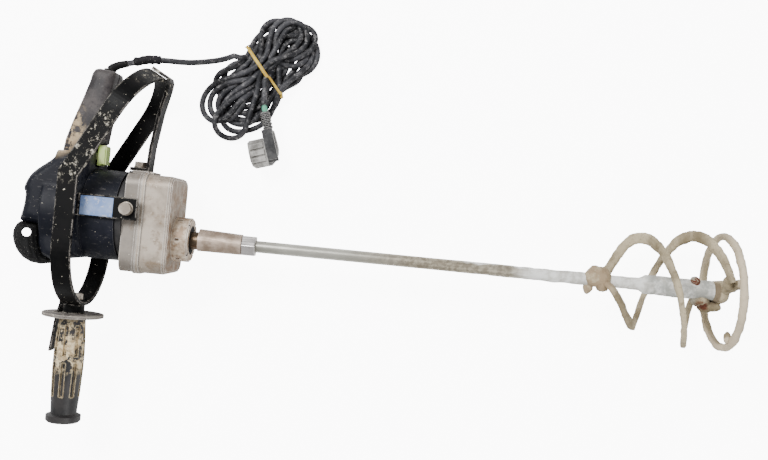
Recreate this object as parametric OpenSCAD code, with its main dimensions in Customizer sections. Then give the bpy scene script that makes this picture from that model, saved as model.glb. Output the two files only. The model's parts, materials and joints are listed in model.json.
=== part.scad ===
// Electric hand mixer for mortar, with its helical mixing paddle, lying on its side.
// Millimetres, +X along the shaft towards the paddle, +Y towards the main handle, +Z up.
// X = 0 is the middle of the side handle and the shaft axis runs at Y = 0, Z = axis_z.

/* [Paddle] */
// outside diameter of the paddle ring
ring_d = 140; // [132:1:140]
// diameter of the round bar the ring is bent from
ring_bar_d = 9.5; // [7:0.5:11]
// position of the ring's plane along the shaft
ring_x = 760; // [740:2:780]
// diameter of the mixer shaft
shaft_d = 14; // [12:0.5:15]
// diameter of the thick end of the shaft inside the helix
core_d = 22; // [18:1:24]
// width of the helix blades, outward from the shaft
blade_w = 13; // [10:1:15]
// thickness of the helix blades
blade_t = 6; // [4:0.2:7]
// advance of each blade for a quarter turn
quarter_pitch = 31; // [27:1:33]

/* [Guard hoop] */
// width of the flat bar of the hoop
hoop_w = 22; // [18:1:24]
// thickness of the flat bar of the hoop
hoop_t = 4; // [3:0.5:4]
// lean of the upper half of the hoop towards the paddle
hoop_lean = 28.8; // [27:0.2:30]

/* [Handles] */
// half depth of the rear housing from the seam
rear_half = 44; // [40:1:46]
// half depth of the main grip from the seam
grip_half = 21; // [18:1:23]
// diameter of the slanted hanging hole through the rear cap
hang_hole_d = 10.4; // [8:0.2:11]
// diameter of the round hand guard of the side handle
guard_d = 70; // [60:1:80]
// largest diameter of the side grip
side_grip_d = 35; // [32:0.5:36]

/* [Motor and gears] */
// outside diameter of the motor housing
motor_d = 105; // [104:0.5:106]
// diameter of the nose collar
collar_d = 52; // [48:1:54]

/* [Cord] */
// diameter of the mains cord
cord_d = 7; // [6:0.2:8]
// height of the coiled hank of cord
hank_h = 24; // [20:1:28]

/* [Hidden] */
$fn = 48;
axis_z = 70;
fit = 0.05;
motor_y = 20.6;
mid_y = 39.6;
out_m = 1.1;
mid_m = 1;
out_teeth = 60;
mid_pinion_teeth = 12;
mid_teeth = 28;
arm_teeth = 10;
press_a = 20;
motor_in_r = 48.5;
wall = 3.5;
case_y0 = -43;
case_y1 = 73;
case_half = 45;
case_mid_y = (case_y0 + case_y1) / 2;
case_h = case_y1 - case_y0;
seam_x = 78;
case_x0 = 59.5;
case_x1 = 112;
collar_x1 = 131;
hoop_x = 5;
hoop_r = 74;
hoop_low_y = -14;
hoop_bend_y = 62.5;
hoop_leg = 87;
hoop_crown = 59;
plug_c = [199, 114];
plug_turn = 18;
ring_lean = 4;
hank_c = [182.7, 207.1];
hank_a = 52.8;
tie_c = [189, 215.5];

// screw posts of the grip shells
rear_post = [-48.5, 49];
grip_post = [6, 118];
// outline of the two grip shells, seen along Z
shell_pts = [
  [13, -31], [13, 101.5], [18.4, 103], [21.4, 128], [24, 158], [26.4, 178], [27.8, 183], [26.8, 187.5],
  [8, 189.5], [3.4, 188], [0.4, 183], [-1.4, 174], [-8.8, 150], [-17, 126], [-23.6, 103], [-25.2, 88],
  [-27.4, 81], [-31.8, 76.7], [-38.2, 71.7], [-45.4, 66], [-51.2, 60.2], [-55.1, 54], [-57.4, 48.3],
  [-59, 41.5], [-56.6, 38.6], [-56.3, 32.7], [-56.7, 24.9], [-57.9, 16.8], [-59.2, 11], [-60.4, 5],
  [-38, 3], [-35.8, -20], [-30.2, -32.8], [-20.2, -36.4]
];
// outline of the rear cap, seen along Z
cap_pts = [
  [-60.6, 4.8], [-64.5, 1.8], [-67.2, -2.6], [-68.8, -8.2], [-68.7, -13.5], [-66.8, -21], [-62.6, -29.2],
  [-55.4, -37], [-45.4, -41.8], [-33.6, -43.2], [-24.6, -40.8], [-20.3, -36.6], [-30.4, -33], [-36, -20.2],
  [-38.2, 2.8]
];
// apex of the hoop's crown, the directions out of it and along its band, and the line of the strip from it
lean_n = [sin(hoop_lean), cos(hoop_lean)];
lean_c = [cos(hoop_lean), -sin(hoop_lean)];
apex = [hoop_x, hoop_bend_y] + (hoop_leg + hoop_crown) * lean_n;
leg_path = [
  apex + 2.2 * lean_n - 10 * lean_c, apex + 2.2 * lean_n + 12.4 * lean_c, [88.4, 182], [87.4, 174],
  [81, 146], [74.8, 103], [73.4, 77.2], [53, 77.2]
];
bolt_x = 67;
stud_d = 9;
// depth and inset of each layer that rounds the outer edge of a shell, as shares of its half depth
layers = [[0, 0.78, 0], [0.78, 0.89, 1.8], [0.89, 0.96, 4.2], [0.96, 1, 7.5]];

// routes of the cord, swept as tubes
lead_pts = [
  [17, 192, 70], [22, 195.5, 70], [31, 199, 70], [40, 201.5, 69.5], [49, 205, 68.5], [58, 207.5, 67.5],
  [67, 208.5, 66], [76, 209, 64], [85, 209.5, 61.5], [94, 210, 58], [105, 211.5, 52.5], [115, 214, 46.5],
  [126, 217.5, 39.5], [136.5, 221.5, 33], [147, 227, 27], [156, 233, 22], [164, 239, 18.5],
  [169.5, 244.5, 17]
];
relief_pts = [
  [16.2, 190.6, 70], [19, 193.8, 70], [22, 195.5, 70], [26.3, 197.6, 70], [31, 199, 70], [36, 200.4, 69.8]
];
sleeve_pts = [[43, 202.7, 69.2], [49, 205, 68.5], [58, 207.5, 67.5], [67, 208.5, 66], [73, 208.8, 64.7]];
tail_pts = [
  [190, 214, 20], [191, 208.5, 24], [192.2, 203, 27.5], [193.4, 194, 30], [194, 184, 31], [194.2, 175, 31],
  [195.2, 168, 31], [197.3, 162.5, 31]
];

// position of the blade's middle line, t from -75 to 257 degrees past its first quarter
function blade_x(t) = 658 + (t < 0 ? t / 75 * 38 : t / 90 * quarter_pitch);
function blade_grow(t) = t < 0 ? sin((t + 75) / 75 * 90) : 1;
function blade_out(t, first) = first + (ring_d / 2 - blade_w / 2 - 0.5 - first) * min(1, max(0, t) / 180);
function blade_r(t, first) = 8 + (blade_out(t, first) - 8) * blade_grow(t);
function on_x(x, a, r) = [x, r * cos(a), axis_z + r * sin(a)];
function unit(v) = v / norm(v);
function blade_p(t, ph, first) = on_x(blade_x(t), t + ph, blade_r(t, first));
function blade_t_dir(t, ph, first) = unit(blade_p(t + 0.5, ph, first) - blade_p(t - 0.5, ph, first));
function blade_b_dir(t, ph, first) = unit(cross(blade_t_dir(t, ph, first), [0, cos(t + ph), sin(t + ph)]));
function blade_n_dir(t, ph, first) = cross(blade_b_dir(t, ph, first), blade_t_dir(t, ph, first));
bar_section = [
  [0.5, 0.2], [0.38, 0.5], [-0.38, 0.5], [-0.5, 0.2], [-0.5, -0.2], [-0.38, -0.5], [0.38, -0.5], [0.5, -0.2]
];
function blade_ring(t, ph, first) = [
  for (s = bar_section)
    blade_p(t, ph, first) + s[0] * blade_w * blade_n_dir(t, ph, first)
    + s[1] * blade_t * blade_b_dir(t, ph, first)
];
function flat(l) = [for (a = l) for (b = a) b];
function tube_faces(n, k) = concat(
  [[for (j = [0 : k - 1]) j]],
  [for (i = [0 : n - 2]) for (j = [0 : k - 1]) [i * k + j, (i + 1) * k + j, (i + 1) * k + (j + 1) % k]],
  [for (i = [0 : n - 2]) for (j = [0 : k - 1]) [i * k + j, (i + 1) * k + (j + 1) % k, i * k + (j + 1) % k]],
  [[for (j = [0 : k - 1]) n * k - 1 - j]]
);
function path_dir(p, i) = unit(p[min(i + 1, len(p) - 1)] - p[max(i - 1, 0)]);
function path_side(p, i) = unit(cross(path_dir(p, i), [0, 0, 1]));
function path_up(p, i) = cross(path_side(p, i), path_dir(p, i));
function path_ring(p, i, r, k) = [
  for (j = [0 : k - 1])
    p[i] + r * cos(j * 360 / k) * path_side(p, i) - r * sin(j * 360 / k) * path_up(p, i)
];

// sideways direction of a bent line at its corner i, lengthened to keep the strip's thickness
function side_of(a, b) = [a[1] - b[1], b[0] - a[0]] / norm(b - a);
function joined(u, v) = (u + v) / (1 + u * v);
function mitre(p, i) =
  i == 0 ? side_of(p[0], p[1])
  : i == len(p) - 1 ? side_of(p[i - 1], p[i])
  : joined(side_of(p[i - 1], p[i]), side_of(p[i], p[i + 1]));

// involute tooth outline
function inv_deg(a) = tan(a) * 180 / PI - a;
function roll_at(r, rb) = r <= rb ? 0 : inv_deg(acos(rb / r));
function half_at(r, rb, z) = 90 / z * 0.86 + inv_deg(press_a) - roll_at(r, rb);
function gear_radii(z, m, add) = [
  m * z / 2 - 0.95 * m, max(m * z / 2 * cos(press_a), m * z / 2 - 0.6 * m), m * z / 2,
  m * z / 2 + add * m * 0.55, m * z / 2 + add * m
];
function gear_pts(z, m, add, ph) = [
  for (i = [0 : z - 1])
    for (k = [0 : 9])
      let (r = gear_radii(z, m, add)[k < 5 ? k : 9 - k])
      let (h = half_at(r, m * z / 2 * cos(press_a), z) * (k < 5 ? 1 : -1))
      let (a = 90 + ph - i * 360 / z + h)
      [r * cos(a), r * sin(a)]
];

module at_x(x, y = 0, z = axis_z) {
  translate([x, y, z]) rotate([0, 90, 0]) children();
}

module down_y(x, y, z = axis_z) {
  translate([x, y, z]) rotate([90, 0, 0]) children();
}

module far_side() {
  translate([0, 0, 2 * axis_z]) mirror([0, 0, 1]) children();
}

module rod_x(x0, x1, d, y = 0, z = axis_z) {
  at_x(x0, y, z) cylinder(d = d, h = x1 - x0);
}

module tube_x(x0, x1, d, bore, y = 0, z = axis_z) {
  difference() {
    rod_x(x0, x1, d, y, z);
    rod_x(x0 - 1, x1 + 1, bore, y, z);
  }
}

module hex_x(x0, x1, af, y = 0, z = axis_z) {
  at_x(x0, y, z) cylinder(d = af / cos(30), h = x1 - x0, $fn = 6);
}

module rounded(w, h, r) {
  square([w - 2 * r, h], center = true);
  square([w, h - 2 * r], center = true);
  for (sx = [-1, 1])
    for (sy = [-1, 1])
      translate([sx * (w / 2 - r), sy * (h / 2 - r)]) circle(r = r);
}

// flat strip of thickness t along a bent line, extruded by w along Z and centred on the shaft axis
module bent_strip(p, t, w) {
  n = len(p) - 1;
  translate([0, 0, axis_z - w / 2])
    linear_extrude(height = w)
      polygon(concat(
        [for (i = [0 : n]) p[i] + mitre(p, i) * t / 2], [for (i = [n : -1 : 0]) p[i] - mitre(p, i) * t / 2]
      ));
}

// tube along the points p with k sides, from diameter d to diameter d_end
module path_tube(p, k, d, d_end) {
  n = len(p) - 1;
  polyhedron(
    points = flat([for (i = [0 : n]) path_ring(p, i, (d + (d_end - d) * i / n) / 2, k)]),
    faces = tube_faces(n + 1, k), convexity = 6);
}

// ---- grip shells and rear cap

module rear_area() {
  intersection() {
    polygon(shell_pts);
    translate([-90, -50]) square([103, 140]);
  }
}

module grip_area() {
  intersection() {
    polygon(shell_pts);
    translate([-90, 70]) square([130, 130]);
  }
}

module layered(half, cut = 0) {
  for (l = layers)
    translate([0, 0, axis_z + l[0] * half])
      linear_extrude(height = (l[1] - l[0]) * half + (l[1] < 1 ? 0.01 : 0))
        offset(delta = -l[2] - cut) children();
}

module shell_solid() {
  layered(rear_half) rear_area();
  layered(grip_half) grip_area();
  intersection() {
    rod_x(-33, 13, motor_d, motor_y);
    translate([-40, -60, axis_z]) cube([60, 160, 60]);
  }
}

module shell_cavity() {
  layered(rear_half - wall, wall) rear_area();
  layered(grip_half - wall, wall) grip_area();
  rod_x(-29, 14, 2 * motor_in_r, motor_y);
}

module shell_bulkhead() {
  translate([-46, -22, axis_z]) cube([9, 78, 36]);
  translate([rear_post[0], rear_post[1], axis_z]) cylinder(d = 9, h = rear_half - 1);
  translate([grip_post[0], grip_post[1], axis_z]) cylinder(d = 9, h = grip_half - 1);
  translate([-8, 172, axis_z]) cube([38, 4, grip_half - 2]);
  translate([-14, 113, axis_z]) cube([20, 3, grip_half - 2]);
}

module shell_half() {
  difference() {
    union() {
      difference() {
        shell_solid();
        shell_cavity();
      }
      intersection() {
        shell_bulkhead();
        shell_solid();
      }
    }
    rod_x(-47, -36, 22, motor_y);
    rod_x(-50, -30, 9, motor_y);
    translate([7, 76.4, axis_z - 10]) cube([10, 25.2, 20]);
    translate([16, 170, axis_z]) rotate([-90, 0, 0]) cylinder(d = 11, h = 20);
    translate([16, 168, axis_z]) rotate([-90, 0, 0]) cylinder(d = 8, h = 20);
    for (p = [rear_post, grip_post])
      translate([p[0], p[1], axis_z - 1]) cylinder(d = 4, h = 18);
    for (i = [0 : 4])
      translate([-62, 9 + i * 5, axis_z + 4]) cube([9.4, 2.2, 20]);
  }
}

module handle_shell_near() {
  color([0.15, 0.15, 0.19]) shell_half();
}

module handle_shell_far() {
  color([0.15, 0.15, 0.19]) far_side() shell_half();
}

module handle_screws() {
  color([0.5, 0.5, 0.5])
    for (p = [rear_post, grip_post])
      translate([p[0], p[1], axis_z - 17]) cylinder(d = 4, h = 34);
}

module rear_cap() {
  color([0.10, 0.10, 0.12])
    difference() {
      union() {
        for (l = [[0, 29, 0], [29, 34, 2], [34, 37.5, 5], [37.5, 40, 9]]) {
          translate([0, 0, axis_z + l[0]]) linear_extrude(height = l[1] - l[0]) offset(delta = -l[2])
            polygon(cap_pts);
          translate([0, 0, axis_z - l[1]]) linear_extrude(height = l[1] - l[0]) offset(delta = -l[2])
            polygon(cap_pts);
        }
      }
      translate([-64.1, -9.2, axis_z]) rotate([-2.3, 21.6, 0])
        cylinder(d = hang_hole_d, h = 130, center = true);
      rod_x(-33.3, 14, motor_d + 0.6, motor_y);
    }
}

// ---- motor

module motor_housing() {
  color([0.13, 0.13, 0.18])
    difference() {
      tube_x(13, 52, motor_d, 2 * motor_in_r, motor_y);
      for (i = [0 : 8])
        translate([42, motor_y - 34 + i * 8.5 - 1.2, -5]) cube([8, 2.4, 34]);
    }
}

module bearing_shield() {
  color([0.10, 0.10, 0.11])
    difference() {
      union() {
        rod_x(52, case_x0, 100, motor_y);
        translate([52, motor_y + 42, axis_z - 9]) cube([6.5, 12, 18]);
        rod_x(50.5, 52, 30, motor_y);
      }
      rod_x(50, 53, 20, motor_y);
      rod_x(52.5, 60, 22, motor_y);
      for (a = [45 : 90 : 315])
        at_x(51, motor_y, axis_z) rotate([0, 0, a]) translate([30, 0, 0]) cylinder(d = 14, h = 10);
    }
}

module armature_bearings() {
  color([0.7, 0.7, 0.72]) {
    tube_x(52.8, 59.2, 22, 8 + 2 * fit, motor_y);
    tube_x(-45, -38, 22, 8 + 2 * fit, motor_y);
  }
}

module armature_shaft() {
  color([0.7, 0.7, 0.7]) {
    rod_x(-46, 76.5, 8, motor_y);
    at_x(64.5, motor_y) linear_extrude(height = 11) polygon(gear_pts(arm_teeth, mid_m, 0.6, 18));
  }
}

module armature_core() {
  color([0.45, 0.35, 0.25])
    difference() {
      rod_x(-14, 34, 46, motor_y);
      rod_x(-15, 35, 8, motor_y);
      for (i = [0 : 11])
        at_x(-15, motor_y) rotate([0, 0, i * 30]) translate([18, -1.5, 0]) cube([8, 3, 50]);
    }
}

module commutator() {
  color([0.72, 0.45, 0.25])
    difference() {
      rod_x(-34, -17, 26, motor_y);
      rod_x(-35, -16, 8, motor_y);
      for (i = [0 : 11])
        at_x(-35, motor_y) rotate([0, 0, i * 30]) translate([12.3, -0.3, 0]) cube([2, 0.6, 20]);
    }
}

module cooling_fan() {
  color([0.2, 0.2, 0.2])
    difference() {
      union() {
        rod_x(47.5, 49.5, 84, motor_y);
        rod_x(41.5, 49.5, 18, motor_y);
        for (i = [0 : 8])
          at_x(41.5, motor_y) rotate([0, 0, i * 40]) translate([8, -1, 0]) rotate([0, 0, 12])
            cube([30, 2, 7]);
      }
      rod_x(40, 51, 8, motor_y);
    }
}

module field_stator() {
  color([0.4, 0.4, 0.42])
    difference() {
      rod_x(-12, 32, 94, motor_y);
      rod_x(-13, 33, 47.2, motor_y);
      for (a = [45 : 90 : 315])
        at_x(-13, motor_y) rotate([0, 0, a]) translate([27.4, -5.6, 0]) cube([12.2, 11.2, 50]);
    }
}

module field_coils() {
  color([0.7, 0.4, 0.2]) {
    tube_x(-17.5, -12.4, 79, 56, motor_y);
    tube_x(32.4, 38, 79, 56, motor_y);
    for (a = [45 : 90 : 315])
      at_x(-14, motor_y) rotate([0, 0, a]) translate([28.2, -5, 0]) cube([10.6, 10, 48]);
  }
}

module brush_part(z0, z1, a, b) {
  for (s = [-1, 1])
    translate([-25.5 - a / 2, motor_y - b / 2, axis_z + (s > 0 ? z0 : -z1)]) cube([a, b, z1 - z0]);
}

module brush_holders() {
  color([0.75, 0.6, 0.3])
    difference() {
      brush_part(16, 37.5, 12, 16);
      brush_part(15, 35.5, 6.2, 10.2);
    }
}

module carbon_brushes() {
  color([0.15, 0.15, 0.15]) brush_part(13.4, 29, 6, 10);
}

module brush_springs() {
  color([0.75, 0.75, 0.72])
    for (z = [29 : 1.6 : 34.4])
      for (s = [-1, 1])
        translate([-25.5, motor_y, axis_z + s * (z + 0.4)]) cylinder(d = 4.6, h = 0.8, center = true);
}

// ---- gearbox

module case_profile(inset) {
  translate([0, case_mid_y]) rounded(2 * (case_half - inset), case_h - 2 * inset, 15 - inset);
}

module case_block(x0, x1, inset) {
  at_x(x0) linear_extrude(height = x1 - x0) case_profile(inset);
}

module case_screw_spots() {
  for (sy = [-1, 1])
    for (sz = [-1, 1])
      translate([0, case_mid_y + sy * (case_h / 2 - 9.5), axis_z + sz * (case_half - 9.5)])
        rotate([0, 90, 0]) children();
}

module gearcase_rear() {
  color([0.66, 0.65, 0.62])
    difference() {
      union() {
        difference() {
          union() {
            case_block(case_x0, seam_x - 0.15, 1.5);
            case_block(seam_x - 3.5, seam_x - 0.15, 0);
            translate([case_x0, case_y1 - 10, axis_z - 20]) cube([seam_x - case_x0 - 0.15, 12, 40]);
            intersection() {
              for (s = [-1, 1])
                translate([bolt_x, 30, axis_z + s * 49]) cylinder(d = 20, h = 10, center = true);
              translate([case_x0 + 0.2, 0, 0]) cube([40, 60, 160]);
            }
          }
          case_block(case_x0 + 4, seam_x, 5);
        }
        rod_x(case_x0 + 1, 71, 26);
        rod_x(case_x0 + 1, 64.2, 22, mid_y);
        intersection() {
          case_screw_spots() translate([0, 0, case_x0 + 1]) cylinder(d = 11, h = seam_x - case_x0 - 1.15);
          case_block(case_x0, seam_x, 2);
        }
      }
      rod_x(64, 72, 22);
      rod_x(60.2, 65, 16, mid_y);
      rod_x(58, 64, 13, motor_y);
      rod_x(60, 64.5, 8, mid_y);
      case_screw_spots() translate([0, 0, 64]) cylinder(d = 4, h = 20);
      translate([63, 70, axis_z]) rotate([-90, 0, 0]) cylinder(d = 8, h = 20);
      for (s = [-1, 1])
        translate([bolt_x, 30, axis_z + s * 50]) cylinder(d = 8, h = 20, center = true);
    }
}

module gearcase_front() {
  color([0.66, 0.65, 0.62])
    difference() {
      union() {
        difference() {
          union() {
            case_block(seam_x + 0.15, seam_x + 4, 0);
            case_block(seam_x + 0.15, 108.5, 1.5);
            case_block(108.5, 110.8, 2.6);
            case_block(110.8, case_x1, 4.6);
            translate([seam_x + 0.15, case_y1 - 10, axis_z - 16]) cube([5, 12, 32]);
            for (y = [-37.5, 66])
              translate([88, y, axis_z - 30]) rotate([0, 90, 0]) cylinder(d = 8, h = 14);
          }
          case_block(seam_x, 103, 5);
        }
        rod_x(98, 110, 25, mid_y);
        intersection() {
          case_screw_spots() translate([0, 0, seam_x + 0.15]) cylinder(d = 11, h = 27);
          case_block(seam_x, 106, 2);
        }
      }
      rod_x(100, 113, 36);
      rod_x(97, 106.2, 16, mid_y);
      case_screw_spots() translate([0, 0, seam_x - 1]) cylinder(d = 4, h = 26);
      for (i = [0 : 3])
        at_x(106) rotate([0, 0, 45 + i * 90]) translate([22, 0, 0]) cylinder(d = 3, h = 8);
    }
}

module gearcase_screws() {
  color([0.6, 0.6, 0.6])
    case_screw_spots() translate([0, 0, 66]) cylinder(d = 4, h = 34);
}

module nose_collar() {
  color([0.72, 0.68, 0.63])
    difference() {
      union() {
        rod_x(case_x1, collar_x1 - 1.5, collar_d);
        rod_x(case_x1, collar_x1, collar_d - 3);
      }
      rod_x(case_x1 - 1, 125.5, 40);
      rod_x(125, collar_x1 + 1, 34);
      for (i = [0 : 3])
        at_x(case_x1 - 1) rotate([0, 0, 45 + i * 90]) translate([22, 0, 0]) cylinder(d = 3, h = 24);
      for (i = [0 : 3])
        at_x(128.5) rotate([0, 0, 45 + i * 90]) translate([22, 0, 0]) cylinder(d = 5.4, h = 6);
      for (i = [0 : 5])
        at_x(119) rotate([0, 0, i * 60]) translate([24.5, 0, 0]) cube([6, 3, 5], center = true);
    }
}

module collar_screws() {
  color([0.45, 0.43, 0.4])
    for (i = [0 : 3]) {
      at_x(108) rotate([0, 0, 45 + i * 90]) translate([22, 0, 0]) cylinder(d = 3, h = 20.5);
      at_x(128.5) rotate([0, 0, 45 + i * 90]) translate([22, 0, 0]) cylinder(d = 5.2, h = 1.8);
    }
}

module spindle_seal() {
  color([0.1, 0.1, 0.1]) tube_x(126, 130.4, 34, 21 + 2 * fit);
}

module spindle_bearings() {
  color([0.7, 0.7, 0.72]) {
    tube_x(113, 125.2, 40, 20 + 2 * fit);
    tube_x(64, 71, 22, 10 + 2 * fit);
  }
}

module spindle() {
  color([0.5, 0.45, 0.4]) {
    rod_x(64.5, 74, 10);
    rod_x(74, 125.4, 20);
    rod_x(125.4, 140, 21);
    rod_x(140, 164, 14);
  }
}

module output_gear() {
  color([0.6, 0.6, 0.62])
    difference() {
      at_x(80) linear_extrude(height = 14) polygon(gear_pts(out_teeth, out_m, 0.7, 0));
      rod_x(79, 95, 20);
      for (i = [0 : 5])
        at_x(79) rotate([0, 0, i * 60]) translate([21, 0, 0]) cylinder(d = 9, h = 16);
    }
}

module intermediate_gear() {
  color([0.6, 0.6, 0.62])
    difference() {
      union() {
        at_x(65, mid_y) linear_extrude(height = 10) polygon(gear_pts(mid_teeth, mid_m, 0.6, 0));
        at_x(75, mid_y) linear_extrude(height = 20.5)
          polygon(gear_pts(mid_pinion_teeth, out_m, 0.7, 15));
      }
      rod_x(64, 96, 7, mid_y);
    }
}

module intermediate_shaft() {
  color([0.7, 0.7, 0.7]) rod_x(60.6, 105.8, 7, mid_y);
}

module intermediate_bearings() {
  color([0.7, 0.7, 0.72]) {
    tube_x(60.4, 64.2, 16, 7 + 2 * fit, mid_y);
    tube_x(98.5, 106, 16, 7 + 2 * fit, mid_y);
  }
}

// ---- guard hoop and its brackets

// a point of the band: w across it, v along it from the bend (negative in the upright half), z up
function band_point(w, v, z) =
  v == 0 ? [hoop_x + w, hoop_bend_y - w * tan(hoop_lean / 2), z]
  : v < 0 ? [hoop_x + w, hoop_bend_y + v, z]
  : [
      hoop_x + w * cos(hoop_lean) + v * sin(hoop_lean),
      hoop_bend_y - w * sin(hoop_lean) + v * cos(hoop_lean), z
    ];

// the four corners of the band's section, from its outer line to its inner one
function band_section(v_out, z_out, v_in, z_in) = [
  band_point(-hoop_w / 2, v_out, z_out), band_point(hoop_w / 2, v_out, z_out),
  band_point(hoop_w / 2, v_in, z_in), band_point(-hoop_w / 2, v_in, z_in)
];

// the sections round one half circle or half ellipse end of the hoop
function band_end(middle, end, first) = [
  for (a = [first : 3.75 : first + 180])
    band_section(
      middle + end * cos(a), hoop_r + hoop_r * sin(a),
      middle + (end - hoop_t) * cos(a), hoop_r + (hoop_r - hoop_t) * sin(a))
];
band_sections = concat(
  band_end(hoop_low_y - hoop_bend_y, hoop_r, 90), [band_section(0, 0, 0, hoop_t)],
  band_end(hoop_leg, hoop_crown, 270), [band_section(0, 2 * hoop_r, 0, 2 * hoop_r - hoop_t)]
);
function band_faces(n) = [
  for (i = [0 : n - 1]) for (j = [0 : 3]) for (half = [0, 1])
    half == 0 ? [i * 4 + j, (i + 1) % n * 4 + (j + 1) % 4, (i + 1) % n * 4 + j]
    : [i * 4 + j, i * 4 + (j + 1) % 4, (i + 1) % n * 4 + (j + 1) % 4]
];

module guard_hoop() {
  color([0.08, 0.08, 0.09])
    difference() {
      polyhedron(points = flat(band_sections), faces = band_faces(len(band_sections)), convexity = 6);
      down_y(0, hoop_low_y - 60) cylinder(d = stud_d + 0.2, h = 20);
    }
}

module guard_leg() {
  color([0.10, 0.10, 0.11])
    difference() {
      bent_strip(leg_path, 4, hoop_w);
      translate([63, 70, axis_z]) rotate([-90, 0, 0]) cylinder(d = 8, h = 12);
    }
}

// strip from a side of the gearbox to the inner face of the hoop at height top
module bracket_shape(top) {
  difference() {
    translate([0, 42.5, 0]) rotate([90, 0, 0])
      linear_extrude(height = 25)
        polygon([
          [-4, top], [-4, top - 3], [4, top - 3], [11, 124.2], [78.5, 124.2], [78.5, 127.2], [13.2, 127.2],
          [6.2, top]
        ]);
    translate([bolt_x, 30, 120]) cylinder(d = 8, h = 12);
  }
}

module side_bracket_near() {
  color([0.09, 0.09, 0.10]) bracket_shape(2 * hoop_r - hoop_t - 0.2);
}

module side_bracket_far() {
  color([0.09, 0.09, 0.10]) far_side() bracket_shape(2 * axis_z - hoop_t - 0.2);
}

module bracket_bolt() {
  translate([bolt_x, 30, 110.5]) cylinder(d = 8, h = 18);
  translate([bolt_x, 30, 127.3]) cylinder(d = 15.5, h = 1.4);
  translate([bolt_x, 30, 128.7]) cylinder(d = 13.5, h = 6.4);
}

module bracket_bolts() {
  color([0.55, 0.54, 0.52]) {
    bracket_bolt();
    far_side() bracket_bolt();
  }
}

module leg_bolt() {
  color([0.5, 0.5, 0.48])
    translate([63, 0, axis_z]) rotate([-90, 0, 0]) {
      translate([0, 0, 70.5]) cylinder(d = 8, h = 12);
      translate([0, 0, 79.3]) cylinder(d = 16, h = 1.6);
      translate([0, 0, 80.9]) cylinder(d = 13 / cos(30), h = 5.2, $fn = 6);
    }
}

module rating_label() {
  color([0.58, 0.65, 0.78])
    translate([15, 18.8, 127.25]) cube([37, 21.6, 0.5]);
}

// ---- side handle

module aux_stub() {
  color([0.10, 0.10, 0.11])
    difference() {
      down_y(0, -80) cylinder(d = 25, h = 18.4);
      rod_x(-20, 20, 2 * hoop_r + 0.4, hoop_low_y, hoop_r);
      down_y(0, -79) cylinder(d = stud_d + 0.2, h = 22);
    }
}

module aux_stud() {
  color([0.5, 0.5, 0.5]) {
    down_y(0, -75.4) cylinder(d = 17 / cos(30), h = 6.5, $fn = 6);
    down_y(0, -81) cylinder(d = stud_d, h = 69);
  }
}

module hand_guard() {
  color([0.3, 0.3, 0.3])
    difference() {
      down_y(0, -98.5) cylinder(d = guard_d, h = 4);
      down_y(0, -98) cylinder(d = stud_d + 0.2, h = 6);
      translate([-21, -104, axis_z - 7.5]) cube([7, 8, 15]);
    }
}

module aux_grip() {
  color([0.16, 0.16, 0.17])
    difference() {
      translate([0, -102.6, axis_z]) rotate([90, 0, 0])
        rotate_extrude()
          polygon([
            [0, 0], [15, 0], [15.4, 8], [16.4, 22], [side_grip_d / 2, 42], [side_grip_d / 2, 62],
            [16.6, 88], [15.2, 108], [15, 114.4], [20, 116.4], [20, 122.4], [18, 124.4], [0, 124.4]
          ]);
      down_y(0, -102) cylinder(d = stud_d + 0.2, h = 50);
      for (i = [0 : 7])
        translate([0, -112, axis_z]) rotate([90, 0, 0]) rotate([0, 0, i * 45])
          translate([13.8, -2.3, 0]) cube([6, 4.6, 36]);
      for (i = [0 : 7])
        translate([0, -156, axis_z]) rotate([90, 0, 0]) rotate([0, 0, i * 45])
          translate([13.8, -2.3, 0]) cube([6, 4.6, 40]);
    }
}

module stay_strip() {
  color([0.2, 0.2, 0.2])
    translate([0, 0, axis_z - 6])
      linear_extrude(height = 12)
        polygon([
          [-12.7, -76], [-12.7, -88], [-16.2, -101], [-20.5, -145], [-23.5, -145], [-19.2, -101],
          [-15.7, -88], [-15.7, -76]
        ]);
}

// ---- trigger and switch

module trigger() {
  color([0.72, 0.82, 0.5])
    difference() {
      union() {
        translate([13.6, 77, axis_z - 8.6]) cube([8.4, 24, 17.2]);
        translate([22, 78.5, axis_z - 7.4]) cube([1.4, 21, 14.8]);
        translate([8.5, 84, axis_z - 6]) cube([6, 8, 12]);
      }
      translate([20, 75.5, axis_z]) cylinder(d = 7, h = 30, center = true);
    }
}

module switch_body() {
  color([0.12, 0.12, 0.12]) {
    translate([-16, 79, axis_z - 11]) cube([11, 31, 22]);
    for (y = [84, 103])
      translate([-18.4, y, axis_z - 5]) cube([2.5, 1, 6]);
  }
}

module trigger_spring() {
  color([0.75, 0.75, 0.72]) {
    translate([-4.8, 88, axis_z]) rotate([0, 90, 0]) cylinder(d = 3, h = 13);
    for (i = [0 : 5])
      translate([-4.4 + i * 2.2, 88, axis_z]) rotate([0, 90, 0]) cylinder(d = 7, h = 1);
  }
}

module speed_module() {
  color([0.15, 0.3, 0.2]) {
    translate([-52, 8, axis_z - 14]) cube([2, 28, 28]);
    translate([-50.1, 14, axis_z - 6]) cube([3.2, 10, 12]);
  }
}

// ---- cord

module cord_gland() {
  color([0.08, 0.08, 0.08]) {
    difference() {
      union() {
        translate([16, 170.5, axis_z]) rotate([-90, 0, 0]) cylinder(d = 10.8, h = 20);
        translate([16, 189.8, axis_z]) rotate([-90, 0, 0]) cylinder(d = 14, h = 2);
      }
      translate([16, 160, axis_z]) rotate([-90, 0, 0]) cylinder(d = 7.2, h = 26);
    }
    path_tube(relief_pts, 16, 10.6, 8);
  }
}

module cord_clamp() {
  color([0.2, 0.2, 0.2]) translate([8.5, 162, axis_z - 3.5]) cube([12, 6, 7]);
}

module cord_sleeve() {
  color([0.13, 0.12, 0.14]) path_tube(sleeve_pts, 12, 11, 11);
}

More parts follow.
